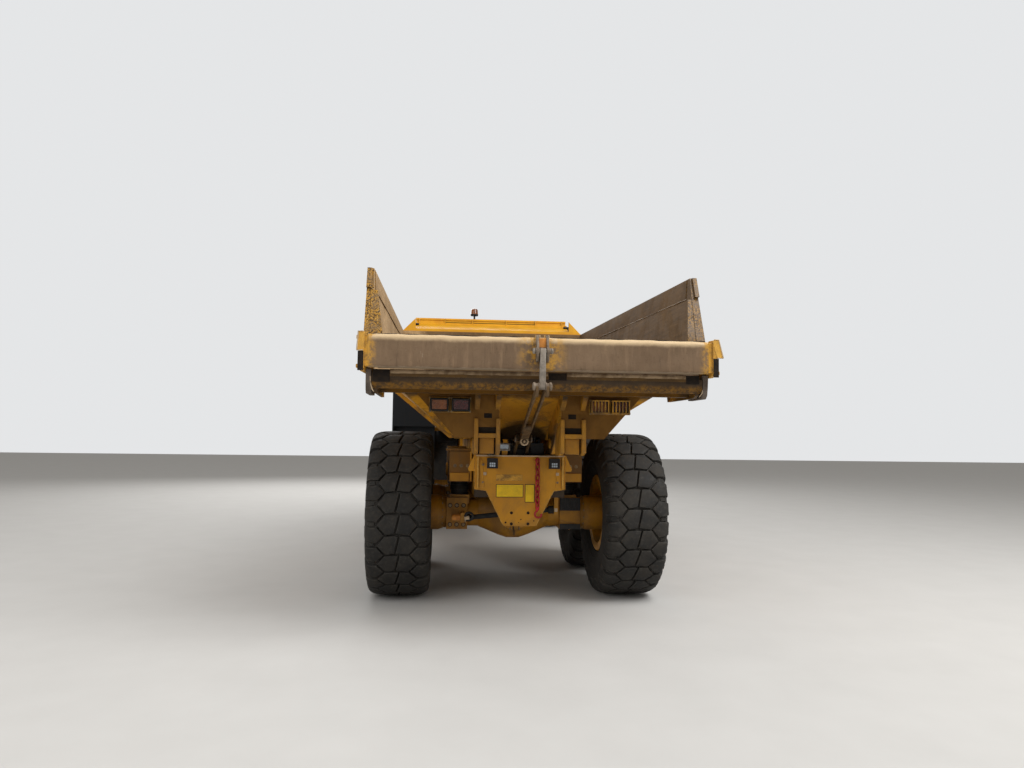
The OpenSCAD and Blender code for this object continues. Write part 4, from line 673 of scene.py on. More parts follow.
arms, bosses, ends, rims, shade = (
    Piece("gate_" + name, "tailgate", key, *gate) for name, key in (
        ("arms", "arm"), ("bosses", "arm"), ("arm_ends", "bright"), ("arm_borders", "pale"),
        ("arm_shade", "socket")))
pivot_x, pivot_z = XR - 0.85 - GATE_IN, 0.08
rib_x = pivot_x - 0.1
for s in BOTH:
    arms.plate([(-0.066, -0.01), (-0.07, GATE_H - 0.02), (-0.054, GATE_H + 0.006), (0.02, GATE_H + 0.01),
                (pivot_x, pivot_z + 0.07), (pivot_x, pivot_z - 0.07), (0.03, -0.024)],
               "Y", s * (BODY_HALF - 0.008), s * (BODY_HALF + 0.028))
    # Edge ribs on the arm's outer face
    for z0, z1, z2, z3 in ((GATE_H - 0.045, GATE_H - 0.016, 0.068, 0.04), (-0.006, 0.022, -0.038, -0.066)):
        arms.plate([(-0.05, z0), (-0.05, z1), (rib_x, pivot_z + z2), (rib_x, pivot_z + z3)],
                   "Y", s * (BODY_HALF + 0.026), s * (BODY_HALF + 0.052))
    arms.box(-0.056, 0, s * (BODY_HALF - 0.04), s * (BODY_HALF - 0.003), 0.006, GATE_H - 0.012)
    # Bright end plate with a raised border, bent outwards on the right; below it a dark block is painted
    # shade on the arm
    lean = 0.008 if s > 0 else 0.034
    y0, y1, z0, z1, x = BODY_HALF - 0.01, BODY_HALF + 0.04, 0.118, GATE_H + 0.012, -0.071
    ends.plate([(s * y0, z1 - 0.014), (s * (y0 + 0.012), z1), (s * y1, z1), (s * (y1 + lean), z0),
                (s * (y0 + lean), z0)], "X", x + 0.006, x)
    rims.tube([(x, s * y, z) for y, z in ((y0 + 0.014, z1 - 0.002), (y1 - 0.003, z1 - 0.002), (
        y1 + lean - 0.002, z0 + 0.004), (y0 + lean + 0.004, z0 + 0.003))], 0.0045)
    shade.box(-0.0705, -0.06, s * (BODY_HALF - 0.004), s * (BODY_HALF + 0.038), -0.026, z0 - 0.002)
    bosses.lathe((pivot_x, s * (BODY_HALF - 0.008), pivot_z), (0, s, 0),
                 [(0, 0.07), (0.052, 0.07), (0.06, 0.062), (0.06, 0.0285), (0, 0.0285)], 40, True)
arms.done(0.005)
bosses.done(0.002, 1)
ends.done(0.002)
rims.done(smooth=60)
shade.done(0.002)
# Dark wavy line along the gate's top edge: painted shadow of the gap in front of it
Piece("gate_top_shadow_line", "tailgate", "socket", *gate).tube(
    [(-0.006, -1.26 + 0.03 * k, GATE_H - 0.001 + 0.003 * ripple(3.1 * k, 0.4)) for k in range(85)],
    0.0055, 6).done(smooth=60)

ears = Piece("gate_link_ears", "tailgate", "steel", *gate)
lx, lz = -0.103, 0.14
for s in BOTH:
    ears.plate([(-0.05, GATE_H + 0.006), (-0.05, 0.06), (lx - 0.004, lz - 0.072),
                *arc(lx + 0.006, lz, 0.031, 220, 110, 8), (lx + 0.004, lz + 0.06), (-0.072, GATE_H + 0.012)],
               "Y", s * 0.028, s * 0.047)
    ears.lathe((lx, s * 0.047, lz), (0, s, 0), [(0, 0.0245), (0.007, 0.0245), (0.009, 0.021)], 24)
ears.done(0.003)
Piece("gate_bracket_plate", "tailgate", "orange", *gate).box(
    -0.08, -0.056, -0.029, 0.029, 0.168, GATE_H - 0.012).done(0.002)
beads = Piece("gate_weld_beads", "tailgate", "gate", *gate)
for s in BOTH:
    for y in (0.049, 0.019):
        beads.tube([(-0.058 + 0.0015 * ripple(90 * k, y), s * (y + 0.001 * ripple(70 * k, 2)),
                     0.065 + 0.022 * k)
                    for k in range(10)], 0.0045, 6)
beads.tube([(-0.03 + 0.001 * ripple(7 * k, 1), -1.2 + 0.04 * k, -0.001) for k in range(61)], 0.004, 6)
beads.done(smooth=60)

# Link, draw rod and their pins

top, tee, ball = (XR - 2.195, LINK_Z), (XR - 2.18, 1.93), (XR - 0.95, 1.54)
bar = Piece("link_bar", "gate_link", "grey").bar(top, tee, 0.024, 0.026, -0.0215, 0.0215)
bar.rod((top[0], -0.056, top[1]), (top[0], 0.056, top[1]), 0.015, 20)
straps, tees = Piece("rod_straps", "gate_rod", "rod"), Piece("rod_tee", "gate_rod", "steel")
heads = Piece("rod_pin_heads", "rear_frame", "steel", slot="link_steel")
low, start, end = ([a + (b - a) * t for a, b in zip(tee, ball)] for t in (0.82, 0.74, 0.955))
for s in BOTH:
    bar.lathe((top[0], s * 0.057, top[1]), (0, s, 0),
              [(0, 0.017), (0.004, 0.023), (0.018, 0.021), (0.02, 0.013)], 18)
    straps.bar(tee, low, 0.024, 0.02, s * 0.025, s * 0.043)
    straps.bar((tee[0] + 0.004, tee[1] - 0.006), (tee[0] + 0.012, tee[1] - 0.058), 0.03, 0.021, s * 0.028,
               s * 0.05)
    tees.lathe((tee[0], s * 0.0225, tee[1]), (0, s, 0),
               [(0, 0.033), (0.006, 0.033), (0.01, 0.026), (0.028, 0.024), (0.032, 0.031), (0.044, 0.031),
                (0.05, 0.022), (0.051, 0)], 24)
    heads.lathe((ball[0], s * 0.066, ball[1]), (0, s, 0), [(0, 0.034), (0.01, 0.034), (0.013, 0.029)], 6)
bar.done(0.003, replaces="gate_link")
straps.bar(start, end, 0.026, 0.034, -0.0345, 0.0345)
straps.lathe((ball[0], -0.036, ball[1]), (0, 1, 0),
             [(0, 0.042), (0.072, 0.042), (0.072, 0.0275), (0, 0.0275)], 32, True)
straps.done(0.003, replaces="gate_rod")
tees.done(0.002, 1)
start = (ball[0] - 0.03, 0, ball[1] - 0.024)
Piece("rod_eye", "gate_rod", "pale").lathe(
    start, BACK, [(0, 0.037), (0.06, 0.037), (0.066, 0.032), (0.066, 0.024), (0.05, 0.022), (0, 0.022)], 32,
    True).lathe(start, BACK, [(0, 0.013), (0.058, 0.013), (0.062, 0.009)], 20).done(0.001, 1)
heads.done(0.002)

# Rear lip of the load body

bar = Piece("lip_bar", "dump_body", "tan", X_LIP)
for y0, y1 in ((-1.115, -0.205), (-0.055, 1.115)):
    bar.tube([(-0.018 + 0.0015 * ripple(6 * y, 3), y, 2.028 + 0.002 * ripple(5 * y, 1))
              for y in (y0 + (y1 - y0) * k / 24 for k in range(25))], 0.017, 14)
bar.done(smooth=60)
pockets = Piece("lip_pockets", "dump_body", "socket", X_LIP, slot="body_paint")
for y0, y1, z0, z1 in ((-0.2, -0.06, 1.985, 2.04), (1.12, 1.245, 1.95, 2.043), (-1.225, -1.12, 1.975, 2.04)):
    pockets.box(-0.026, 0.02, y0, y1, z0, z1)
pockets.done(0.004)
# Folded plate under the lip, bent a little along its length
rings = []
for k in range(49):
    y = -1.252 + 2.504 * k / 48
    w = 0.003 * ripple(4 * y, 2.2)
    rings.append([(w - 0.022, y, 2.008), (w - 0.016, y, 1.962), (w - 0.002, y, 1.93), (0.03, y, 1.905),
                  (0.06, y, 1.905), (0.05, y, 2.008)])
Piece("lip_fold", "dump_body", "lip", X_LIP).rings(rings).done(smooth=50)
# Side plates of the chute, worn bright along their inner edge
cheeks = Piece("chute_cheeks", "dump_body", "cheek", X_LIP)
worn = Piece("chute_worn_edges", "dump_body", "pale", X_LIP)
for s in BOTH:
    cheeks.plate([(-0.026, 2.045), (-0.017, 1.95), (-0.003, 1.89), (0.03, 1.864), (0.34, 1.864),
                  (0.4, 2.02)],
                 "Y", s * 1.256, s * 1.296)
    worn.tube([(x, s * y, z) for x, y, z in (
        (-0.017, 1.262, 1.99), (-0.013, 1.262, 1.955), (-0.006, 1.258, 1.925), (0.002, 1.25, 1.9),
        (0.016, 1.238, 1.88))],
              0.0052 if s > 0 else 0.0035)
cheeks.done(0.004)
worn.done(smooth=60)

# Tail lamps

housing = Piece("tail_lamp_housings", "dump_body", "black", X_BULK - 0.012, slot="red_lens")
bezels = Piece("tail_lamp_frames", "dump_body", "arm", X_BULK - 0.012)
screws = Piece("tail_lamp_bolts", "dump_body", "bolt", X_BULK - 0.012)
lenses = {key: Piece(f"tail_lenses_{key}", "dump_body", key, X_BULK - 0.012, slot=key + "_lens")
          for key in ("amber", "red")}
z0, z1 = 1.762, 1.862
for y, key in ((0.576, "red"), (0.752, "amber"), (-0.576, "amber"), (-0.752, "red")):
    a, b = y - 0.072, y + 0.072
    housing.box(-0.03, 0, a, b, z0, z1)
    lenses[key].plate([(a + 0.016, z0 + 0.01), (b - 0.016, z0 + 0.01), (b - 0.01, z0 + 0.016),
                       (b - 0.01, z1 - 0.016), (b - 0.016, z1 - 0.01), (a + 0.016, z1 - 0.01),
                       (a + 0.01, z1 - 0.016), (a + 0.01, z0 + 0.016)], "X", -0.03, -0.044)
    housing.frame_x(-0.03, a - 0.002, b + 0.002, z0 - 0.002, z1 + 0.002, 0.013, 0.019)
    bezels.frame_x(-0.002, a - 0.013, b + 0.013, z0 - 0.013, z1 + 0.013, 0.008, 0.022)
    screws.bolts([(-0.034, y, z) for y in (a - 0.004, b + 0.004) for z in (z0 - 0.004, z1 + 0.004)], BACK,
                 0.006, 0.006)
for y in (-0.576, -0.752):
    for k in range(6):
        bezels.box(-0.064, -0.054, y - 0.076 + 0.028 * k, y - 0.064 + 0.028 * k, 1.758, 1.866)
    for z in (1.756, 1.858):
        bezels.box(-0.065, -0.018, y - 0.078, y + 0.078, z, z + 0.012)
housing.done(0.006, 3, replaces="rear_lamps")
bezels.done(0.002, 1)
screws.done()
for piece in lenses.values():
    piece.done(0.006, 3)

# Towing plate, from its rear face

trim, signs, rims, label, edges, fold, lamps, cells, shell, small, dark, bolts = (
    Piece(name, "rear_frame", key, X_PLATE, slot="black_metal" if key in ("grey", "black") else None)
    for name, key in (("towing_plate_trim", "paint"), ("blank_signs", "sign"), ("blank_sign_rims", "black"),
                      ("blank_label", "arm"), ("towing_plate_edges", "bright"),
                      ("towing_plate_fold_highlight", "pale"), ("work_lamp_housings", "black"),
                      ("work_lamp_cells", "cell"), ("top_lamp_shell", "grey"), ("plate_reflectors", "pale"),
                      ("plate_holes", "socket"), ("plate_bolts", "bolt")))
for y0, y1, z0, z1 in ((-0.03, 0.221, 1.003, 1.122), (-0.134, -0.045, 0.957, 1.123)):
    rims.frame_x(0, y0, y1, z0, z1, 0.005, 0.0035)
    signs.box(-0.0025, 0, y0 + 0.004, y1 - 0.004, z0 + 0.004, z1 - 0.004)
label.box(-0.002, 0, -0.021, 0.222, 1.154, 1.21)
# Doubler plates on the shoulders, and gussets beside them
for s in BOTH:
    trim.plate([(s * 0.345, 1.345), (s * 0.372, 1.345), (s * 0.378, 1.095), (s * 0.33, 1.09)],
               "X", 0, -0.007)
for s in BOTH:
    trim.plate([(s * y, z)
                for y, z in ((0.4, 1.386), (0.424, 1.386), (0.481, 1.262), (0.472, 1.24), (0.4, 1.24))],
               "X", 0.004, 0.022)
    edges.box(-0.028, -0.002, s * 0.3835, s * 0.3985, 1.088, 1.374)
    edges.plate([(s * y, z) for y, z in ((0.418, 1.368), (0.421, 1.368), (0.421, 1.075), (0.314, 1.0595), (
        0.152, 0.743), (0.148, 0.746), (0.309, 1.064), (0.417, 1.079))], "X", -0.0025, 0.004)
    bolts.bolts([(0, s * 0.345, z) for z in (1.3, 1.14)], BACK, 0.011, 0.01)
# Pale strip along the plate's folded top edge: a painted highlight
fold.box(-0.0245, 0.002, -0.405, 0.405, 1.3745, 1.3875)
for y in (0.26, -0.31):
    lamps.box(-0.053, -0.018, y - 0.049, y + 0.049, 1.267, 1.359)
    for k in range(5):
        lamps.box(-0.02, 0, y - 0.046 + 0.021 * k, y - 0.038 + 0.021 * k, 1.272, 1.354)
    lamps.frame_x(-0.052, y - 0.049, y + 0.049, 1.267, 1.359, 0.01, 0.01)
    for a in (y - 0.0185, y, y + 0.0185):
        for z in (1.282, 1.303):
            cells.box(-0.057, -0.052, a - 0.0072, a + 0.0072, z, z + 0.016)
# Lamp on the plate's top edge, and the valve blocks and hoses beside it
shell.frame_x(0.002, 0.096, 0.205, 1.428, 1.499, 0.016, 0.02)
cells.box(-0.01, 0.002, 0.11, 0.191, 1.442, 1.485)
for box in ((0.002, 0.054, 0.095, 0.206, 1.427, 1.5), (0.1, 0.17, -0.225, -0.105, 1.395, 1.5),
            (0.1, 0.15, -0.095, 0.09, 1.385, 1.44), (0.15, 0.19, -0.236, 0.236, 1.35, 1.478)):
    lamps.box(*box)
for y, z in ((-0.19, 1.56), (-0.15, 1.6), (-0.07, 1.53), (0.03, 1.5), (0.16, 1.54)):
    lamps.tube([(0.17, y, 1.46), (0.165, y, z - 0.03), (0.2, y + 0.01, z), (0.3, y + 0.02, z + 0.005),
                (0.42, y + 0.03, z - 0.03)], 0.013, 10)
    lamps.disc((0.17, y, 1.476), UP, 0.021, 0.022, 6)
for y in (0.325, -0.345):
    small.box(-0.009, 0, y - 0.014, y + 0.014, 1.203, 1.231)
# Dark discs for the plate's holes: painted shade of the bores
for y in (-0.0765, 0.0765):
    for z in (0.762, 0.862):
        dark.disc((0.012, y, z), BACK, 0.0141, 0.0115)
for y, z, r in ((0.129, 0.775, 0.009), (-0.011, 0.802, 0.006), (0.01, 0.775, 0.004), (-0.13, 0.79, 0.006)):
    dark.disc((0.002, y, z), BACK, r, 0.003, 12)
for piece in (trim, edges, fold, small):
    piece.done(0.002)
for piece in (signs, rims, cells):
    piece.done(0.001, 1)
label.done(0.0008, 1)
shell.done(0.007, 3)
lamps.done(0.003)
dark.done()
bolts.done()

# Chain of oval links, each turned a quarter from the last, with a hook at the end

chain = Piece("safety_chain", "rear_frame", "chain")
wire, half_l, half_w, pitch = 0.0072, 0.032, 0.019, 0.05
cx, cy, top_z = X_PLATE - 0.0236, -0.158, 1.332
for i in range(9):
    turn = math.radians(-45 if i % 2 else 45) + 0.12 * ripple(1.9 * i, 1)
    side = Vector((-math.sin(turn), math.cos(turn), 0))
    mid = Vector((cx, cy + 0.004 * ripple(2.3 * i, 4), top_z - i * pitch))
    rings = []
    for t in turns(22):
        straight = math.copysign(half_l - half_w, math.cos(t)) if abs(math.cos(t)) > 0.12 else 0
        out = side * math.sin(t) + Vector((0, 0, math.cos(t)))
        rings.append([mid + out * half_w + Vector((0, 0, straight))
                      + (out * math.cos(a) + side.cross(Vector(UP)) * math.sin(a)) * wire for a in turns(8)])
    chain.rings(rings, True)
hook_z = top_z - 9 * pitch
chain.tube([(cx, cy + 0.002, hook_z + 0.028), (cx, cy - 0.002, hook_z + 0.006)]
           + [(cx, cy - 0.008 + y, hook_z - 0.03 + z) for y, z in arc(0, 0, 0.03, 60, -190, 14)], 0.0095, 10)
chain.block((cx, cy, hook_z + 0.022), (0.022, 0.03, 0.03))
# Staple that holds the chain's upper end
chain.tube([(X_PLATE, cy + 0.02, 1.344), (cx, cy + 0.018, 1.35), (cx, cy - 0.018, 1.35),
            (X_PLATE, cy - 0.02, 1.344)],
           0.006)
chain.done(smooth=60, replaces="tow_chain")

# Axles, springs and beams

bolts = Piece("clamp_bolts", "rear_frame", "bolt")
recess = Piece("clamp_recesses", "rear_frame", "socket")
plates = Piece("spring_plates", "rear_frame", "black")
covers = Piece("axle_covers", "rear_frame", "paint")
nuts = Piece("axle_cover_bolts", "rear_frame", "bolt")
for x in (XR, XM):
    for s in BOTH:
        for end in (-1, 1):
            if (x, s, end) == (XR, -1, -1):
                # Rubber covers over this clamp's nuts
                for z0, z1 in ((0.831, 0.955), (0.648, 0.7)):
                    plates.box(x - 0.172, x - 0.158, -0.662, -0.458, z0, z1)
                for k in range(7):
                    plates.box(x - 0.178, x - 0.17, -0.655 + 0.03 * k, -0.645 + 0.03 * k, 0.838, 0.948)
                continue
            for y in (0.495, 0.562, 0.627):
                for z in (0.693, 0.878):
                    # Dark discs round the bolts: painted shade of their recesses
                    recess.disc((x + end * 0.158, s * y, z), (end, 0, 0), 0.022, 0.004)
                    bolts.bolts([(x + end * 0.161, s * y, z)], (end, 0, 0), 0.011, 0.008)
        for k in range(4):
            plates.disc((x, s * 0.535, 0.976 + 0.14 * k / 3), UP, 0.094, 0.008, 36)
    covers.lathe((x - 0.225, 0, AXLE_Z), BACK,
                 [(0, 0.15), (0.026, 0.146), (0.036, 0.128), (0.048, 0.07), (0.05, 0)], 40)
    nuts.bolts(circle((x - 0.25, 0, AXLE_Z), "X", 0.138, 10), BACK, 0.009, 0.008)
    for s in BOTH:
        nuts.bolts(circle((x, s * 0.705, AXLE_Z), "Y", 0.155, 14, 0.5), (0, -s, 0), 0.009, 0.009)
bolts.done()
recess.done()
plates.done(0.001, 1)
covers.done(smooth=30)
nuts.done()

stay_x = XR - 0.3
Piece("stay_pin_paint", "rear_frame", "orange", stay_x).lathe(
    (0, 0.53, 0.775), (0, 1, 0), [(0, 0.0285), (0.078, 0.0285), (0.084, 0.022)], 28).done(0.001, 1)
nut = Piece("stay_nut", "rear_frame", "pale", stay_x).disc((0, 0.478, 0.775), (0, 1, 0), 0.044, 0.009, 28)
nut.lathe((0, -0.376, 0.853), (0, -1, 0), [(0, 0.044), (0.03, 0.044), (0.036, 0.036)], 28)
nut.rod((-0.05, 0.494, 0.772), (-0.05, 0.446, 0.778), 0.019, 20).done(0.002)
Piece("stay_eye", "rear_frame", "black", stay_x).lathe(
    (-0.036, 0.448, 0.79), BACK, [(0, 0.047), (0.018, 0.047), (0.025, 0.04), (0.025, 0.027), (0, 0.025)], 32,
    True).done(0.001, 1)
flange = Piece("beam_end_bolts", "rear_frame", "bolt", XR)
lower = Piece("beam_end_step", "rear_frame", "paint", XR)
for s in BOTH:
    flange.bolts([(-0.33, s * y, 1.272) for y in (0.47, 0.53, 0.59)], BACK, 0.012, 0.01)
    flange.bolts([(-x, s * 0.655, 1.436) for x in (0.31, 0.25, 0.19)], UP, 0.01, 0.008)
    lower.box(-0.345, -0.29, s * 0.455, s * 0.64, 1.124, 1.205)
    lower.box(-0.338, -0.32, s * 0.428, s * 0.446, 1.124, 1.41)
flange.done()
lower.done(0.004)
mud = Piece("hanging_mud", "rear_frame", "mud", XR - 0.262)
rnd = random.Random(5)
for k in range(26):
    y = rnd.uniform(-0.12, 0.12)
    x = rnd.uniform(-0.02, 0.03)
    low = 0.575 + 1.1 * abs(y) + rnd.uniform(0, 0.05)
    mud.rod((x, y, low + 0.13), (x - 0.004, y + rnd.uniform(-0.006, 0.006), low), rnd.uniform(0.005, 0.01),
            6, 0.0015)
mud.done(smooth=50)

# Wheel hubs

for axle, x in AXLES:
    for label, s in SIDES:
        body = f"wheel_{axle}_{label}"
        nuts = Piece(f"wheel_nuts_{axle}_{label}", body, "bolt", x, AXLE_Z, "rim_paint")
        hub = Piece(f"hub_rings_{axle}_{label}", body, "rim", x, AXLE_Z)
        for out, way, r, h in ((0.072, s, 0.014, 0.026), (0.04, -s, 0.012, 0.014)):
            nuts.bolts(circle((0, s * (WHEEL_Y + out), 0), "Y", 0.246, 20), (0, way, 0), r, h)
        nuts.bolts(circle((0, s * (WHEEL_Y + 0.205), 0), "Y", 0.165, 12, 0.5), (0, s, 0), 0.01, 0.012)
        nuts.bolts([(0, s * (WHEEL_Y + 0.252), -0.07)], (0, s, 0), 0.018, 0.014)
        hub.lathe((0, s * (WHEEL_Y + 0.244), 0), (0, s, 0),
                  [(0, 0.1), (0.012, 0.1), (0.016, 0.092), (0.016, 0)], 40)
        for way in BOTH:
            hub.lathe((0, s * (WHEEL_Y + way * 0.2475), 0), (0, s * way, 0),
                      [(-0.001, 0.3805), (0.004, 0.3765), (0.005, 0.3665), (0.001, 0.3505),
                       (-0.001, 0.3505)], 96,
                      True)
        nuts.done()
        hub.done(smooth=40)

# Spill guard, from the headboard's foot and the guard's top

guard = (X_HEAD, GUARD_Z)
trim = Piece("guard_trim", "dump_body", "body", *guard)
trim.box(0.408, 0.421, -GUARD_HALF, GUARD_HALF, -0.028, 0)
trim.box(0.402, 0.421, 0.01 - GUARD_HALF, GUARD_HALF - 0.01, -0.094, -0.066)
for y in (-1.06, -0.66, -0.22, 0.28, 0.69, 1.07):
    trim.box(0.4, 0.42, y - 0.008, y + 0.008, -0.09, -0.004)
lugs = Piece("guard_lugs", "dump_body", "black", *guard, "body_paint")
for s in BOTH:
    trim.plate([(0.33, -0.13), (0.36, -0.07), (0.4, -0.07), (0.42, -0.1)], "Y", s * (GUARD_HALF - 0.015),
               s * (GUARD_HALF + 0.012))
    lugs.rod((0.3, s * (GUARD_HALF - 0.05), -0.112), (0.3, s * (GUARD_HALF + 0.055), -0.112), 0.016, 14)
    lugs.box(0.27, 0.31, s * (GUARD_HALF + 0.005), s * (GUARD_HALF + 0.03), -0.168, -0.1)
trim.done(0.003)
# Dark strips in the gaps between the guard's rails: painted shadow
Piece("guard_shadow_lines", "dump_body", "socket", *guard, "body_paint").box(
    0.4005, 0.42, -0.66, 0.69, -0.065, -0.058).box(0.406, 0.42, -0.9, 0.52, -0.121, -0.109).done(0.001, 1)
lugs.done(0.002)


# Load body trim

def wall_point(side, x, drop, out=0.0):
    """A point of the inner wall, so far below its top; out moves it towards the middle."""
    share = min(max((x - XR + 1.7) / 4.9, 0), 1)
    knee_y, knee_z = 1.25 - 0.062 * share, 2.079 + 0.158 * share
    top_z = TOP_REAR + (TOP_FRONT - TOP_REAR) / 5.1 * (x - XR + 1.7)
    t = (top_z - drop - knee_z) / (top_z - knee_z)
    return Vector((x, side * (knee_y + (1.288 - knee_y) * t - out), top_z - drop))


strip = Piece("wall_doublers", "dump_body", "body")
beads = Piece("body_weld_beads", "dump_body", "tan")
for s in BOTH:
    strip.rings([[wall_point(s, XR - 1.6 + 4.72 * k / 12, drop, out) for drop, out in (
        (0.006, 0.005), (0.165, 0.006), (0.172, 0.004), (0.172, -0.004), (0.006, -0.004))]
                 for k in range(13)])
    beads.tube([wall_point(s, x, 0.17, 0.004)
                + Vector((0, s * ripple(60 * x, 1), ripple(45 * x, 2))) * 0.0015
                for x in (XR - 1.62 + 4.74 * k / 59 for k in range(60))], 0.0045, 6)
strip.done(smooth=30)
beads.done(smooth=60)

# Flanges of the body's ears, tied by a bar, with the openings between them shown as dark blocks of painted
# shade
flanges = Piece("ear_flanges", "dump_body", "ear", X_BULK - 0.012)
holes = Piece("ear_openings", "dump_body", "socket", X_BULK - 0.012, slot="body_paint")
for s in BOTH:
    for y0, y1 in ((0.25, 0.284), (0.43, 0.464)):
        flanges.plate([(-0.034, 1.705), (-0.04, 1.43), (0.05, 1.405), (0.26, 1.405), (0.26, 1.56),
                       (0, 1.705)],
                      "Y", s * y0, s * y1)
    flanges.box(-0.032, 0.02, s * 0.28, s * 0.434, 1.545, 1.584)
    flanges.box(0.02, 0.05, s * 0.296, s * 0.418, 1.415, 1.545)
    holes.box(-0.003, 0.01, s * 0.284, s * 0.43, 1.584, 1.634)
    holes.box(-0.003, 0.01, s * 0.318, s * 0.384, 1.708, 1.748)
    holes.box(0.03, 0.045, s * 0.282, s * 0.432, 1.41, 1.545)
flanges.done(0.004)
holes.done(0.003)

# Beacon
beacon = (CAB_REAR + 0.13, CAB_TOP)
Piece("beacon_base", "front_frame", "black", *beacon).lathe(
    (0, 0.2, 0), UP, [(0, 0.045), (0.008, 0.045), (0.01, 0.0145), (0.222, 0.0145), (0.223, 0.06),
                      (0.246, 0.064), (0.25, 0.058)]).done(smooth=30, replaces="beacon")
Piece("beacon_lens", "front_frame", "amber", *beacon).lathe(
    (0, 0.2, 0.247), UP, [(0, 0.06), (0.012, 0.06), (0.07, 0.054), (0.086, 0.046), (0.093, 0.03),
                          (0.0945, 0)],
    40).done(smooth=50)

# Cylinders

foot_x, foot_z, eye_x, eye_z = XR + 2.6, 0.92, XR + 0.65, 1.385
axis = Vector((eye_x - foot_x, 0, eye_z - foot_z)).normalized()
length = math.hypot(eye_x - foot_x, eye_z - foot_z)
up = Vector((0, 1, 0)).cross(axis).normalized()
glands = Piece("hoist_glands", "hoist_barrels", "black")
ports = Piece("hoist_ports", "hoist_barrels", "paint")
for s in BOTH:
    foot = Vector((foot_x, s * 0.2, foot_z))
    glands.lathe(foot + axis * (length - 0.235), axis,
                 [(0, 0.0785), (0.004, 0.084), (0.04, 0.084), (0.046, 0.0785), (0.047, 0.0448), (0, 0.0448)],
                 40, True)
    ports.lathe(foot + axis * 0.115, axis, [(0, 0.078), (0.003, 0.084), (0.03, 0.084), (0.033, 0.078)], 40)
    for d in (0.17, length - 0.3):
        ports.rod(foot + axis * d + up * 0.072, foot + axis * d + up * 0.098, 0.017)
    glands.tube([foot + axis * d + up * h for d, h in (
        (0.17, 0.094), (0.21, 0.104), (length - 0.36, 0.104), (length - 0.3, 0.092))], 0.0085, 10)
glands.done(0.001, 1)
ports.done(smooth=30)
for label, s in SIDES:
    a, b = Vector((XH + 0.95, s * 0.36, 0.87)), Vector((XH, s * 0.3, 0.87))
    along, end = (b - a).normalized(), (b - a).length - 0.29
    ring = Piece(f"steer_gland_{label}", f"steer_barrel_{label}", "black")
    ring.lathe(a + along * (end - 0.04), along, [(0, 0.0502), (0.003, 0.054), (0.032, 0.054), (0.036, 0.049),
                                                 (0.036, 0.0268), (0, 0.0268)], 32, True)
    ring.lathe(a + along * 0.075, along, [(0, 0.0502), (0.003, 0.054), (0.022, 0.054), (0.025, 0.0502)])
    for d in (0.11, end - 0.07):
        ring.rod(a + along * d + Vector((0, 0, 0.046)), a + along * d + Vector((0, 0, 0.068)), 0.012, 12)
    ring.done(0.001, 1)

# Cab: window seals, door, rails, wipers and roof lamps

lean = Vector((0.9, 0, 0.23)).normalized()


def screen(y, z, out=0.0):
    """A point on the windscreen's outer face, or out from it."""
    return Vector((CAB_FRONT - 0.23 * (z - 2.35) / 0.9, y, z)) + lean * out


def window_seal(piece, side, x0, x1, z0, z1):
    y = side * (CAB_HALF - 0.022)
    piece.frame([(x0, y, z0), (x1, y, z0), (x1, y, z1), (x0, y, z1)], (0, side, 0), 0.024, 0.026)


x0, x1 = XF - 0.59, XF + 0.25
seals = Piece("window_seals", "front_frame", "rubber")
for s in BOTH:
    window_seal(seals, s, CAB_REAR + 0.1, x0 - 0.06, 2.26, 3.12)
window_seal(seals, -1, x0, x1 - 0.01, 2.24, 3.12)
seals.frame([screen(y, z, -0.022) for y, z in ((-0.69, 2.41), (0.69, 2.41), (0.69, 3.188), (-0.69, 3.188))],
            lean, 0.028, 0.026)
seals.frame_x(CAB_REAR + 0.022, -0.64, 0.64, 2.25, 3.168, 0.026, 0.026)
seals.done(0.003)
door = Piece("door_window_seal", "cab_door", "rubber")
window_seal(door, 1, x0 + 0.08, x1 - 0.07, 2.15, 3.1)
door.done(0.003)
handle = Piece("door_handle", "cab_door", "black")
hx = x1 - 0.065
handle.box(hx - 0.028, hx + 0.028, CAB_HALF - 0.001, CAB_HALF + 0.007, 1.93, 2.09)
handle.tube([(hx, CAB_HALF + y, z) for y, z in (
    (0.004, 1.955), (0.034, 1.965), (0.038, 2.01), (0.034, 2.055), (0.004, 2.065))], 0.01, 10)
for z in (2.0, 2.6, 3.0):
    handle.box(x0 + 0.015, x0 + 0.045, CAB_HALF - 0.001, CAB_HALF + 0.003, z - 0.03, z + 0.03)
handle.done(0.002)
Piece("door_lower_panel", "cab_door", "slate").plate(
    [(x0 + 0.05, 1.86), (x1 - 0.05, 1.86), (x1 - 0.12, 2.07), (x0 + 0.05, 2.07)], "Y", CAB_HALF - 0.001,
    CAB_HALF + 0.006).done(0.005)

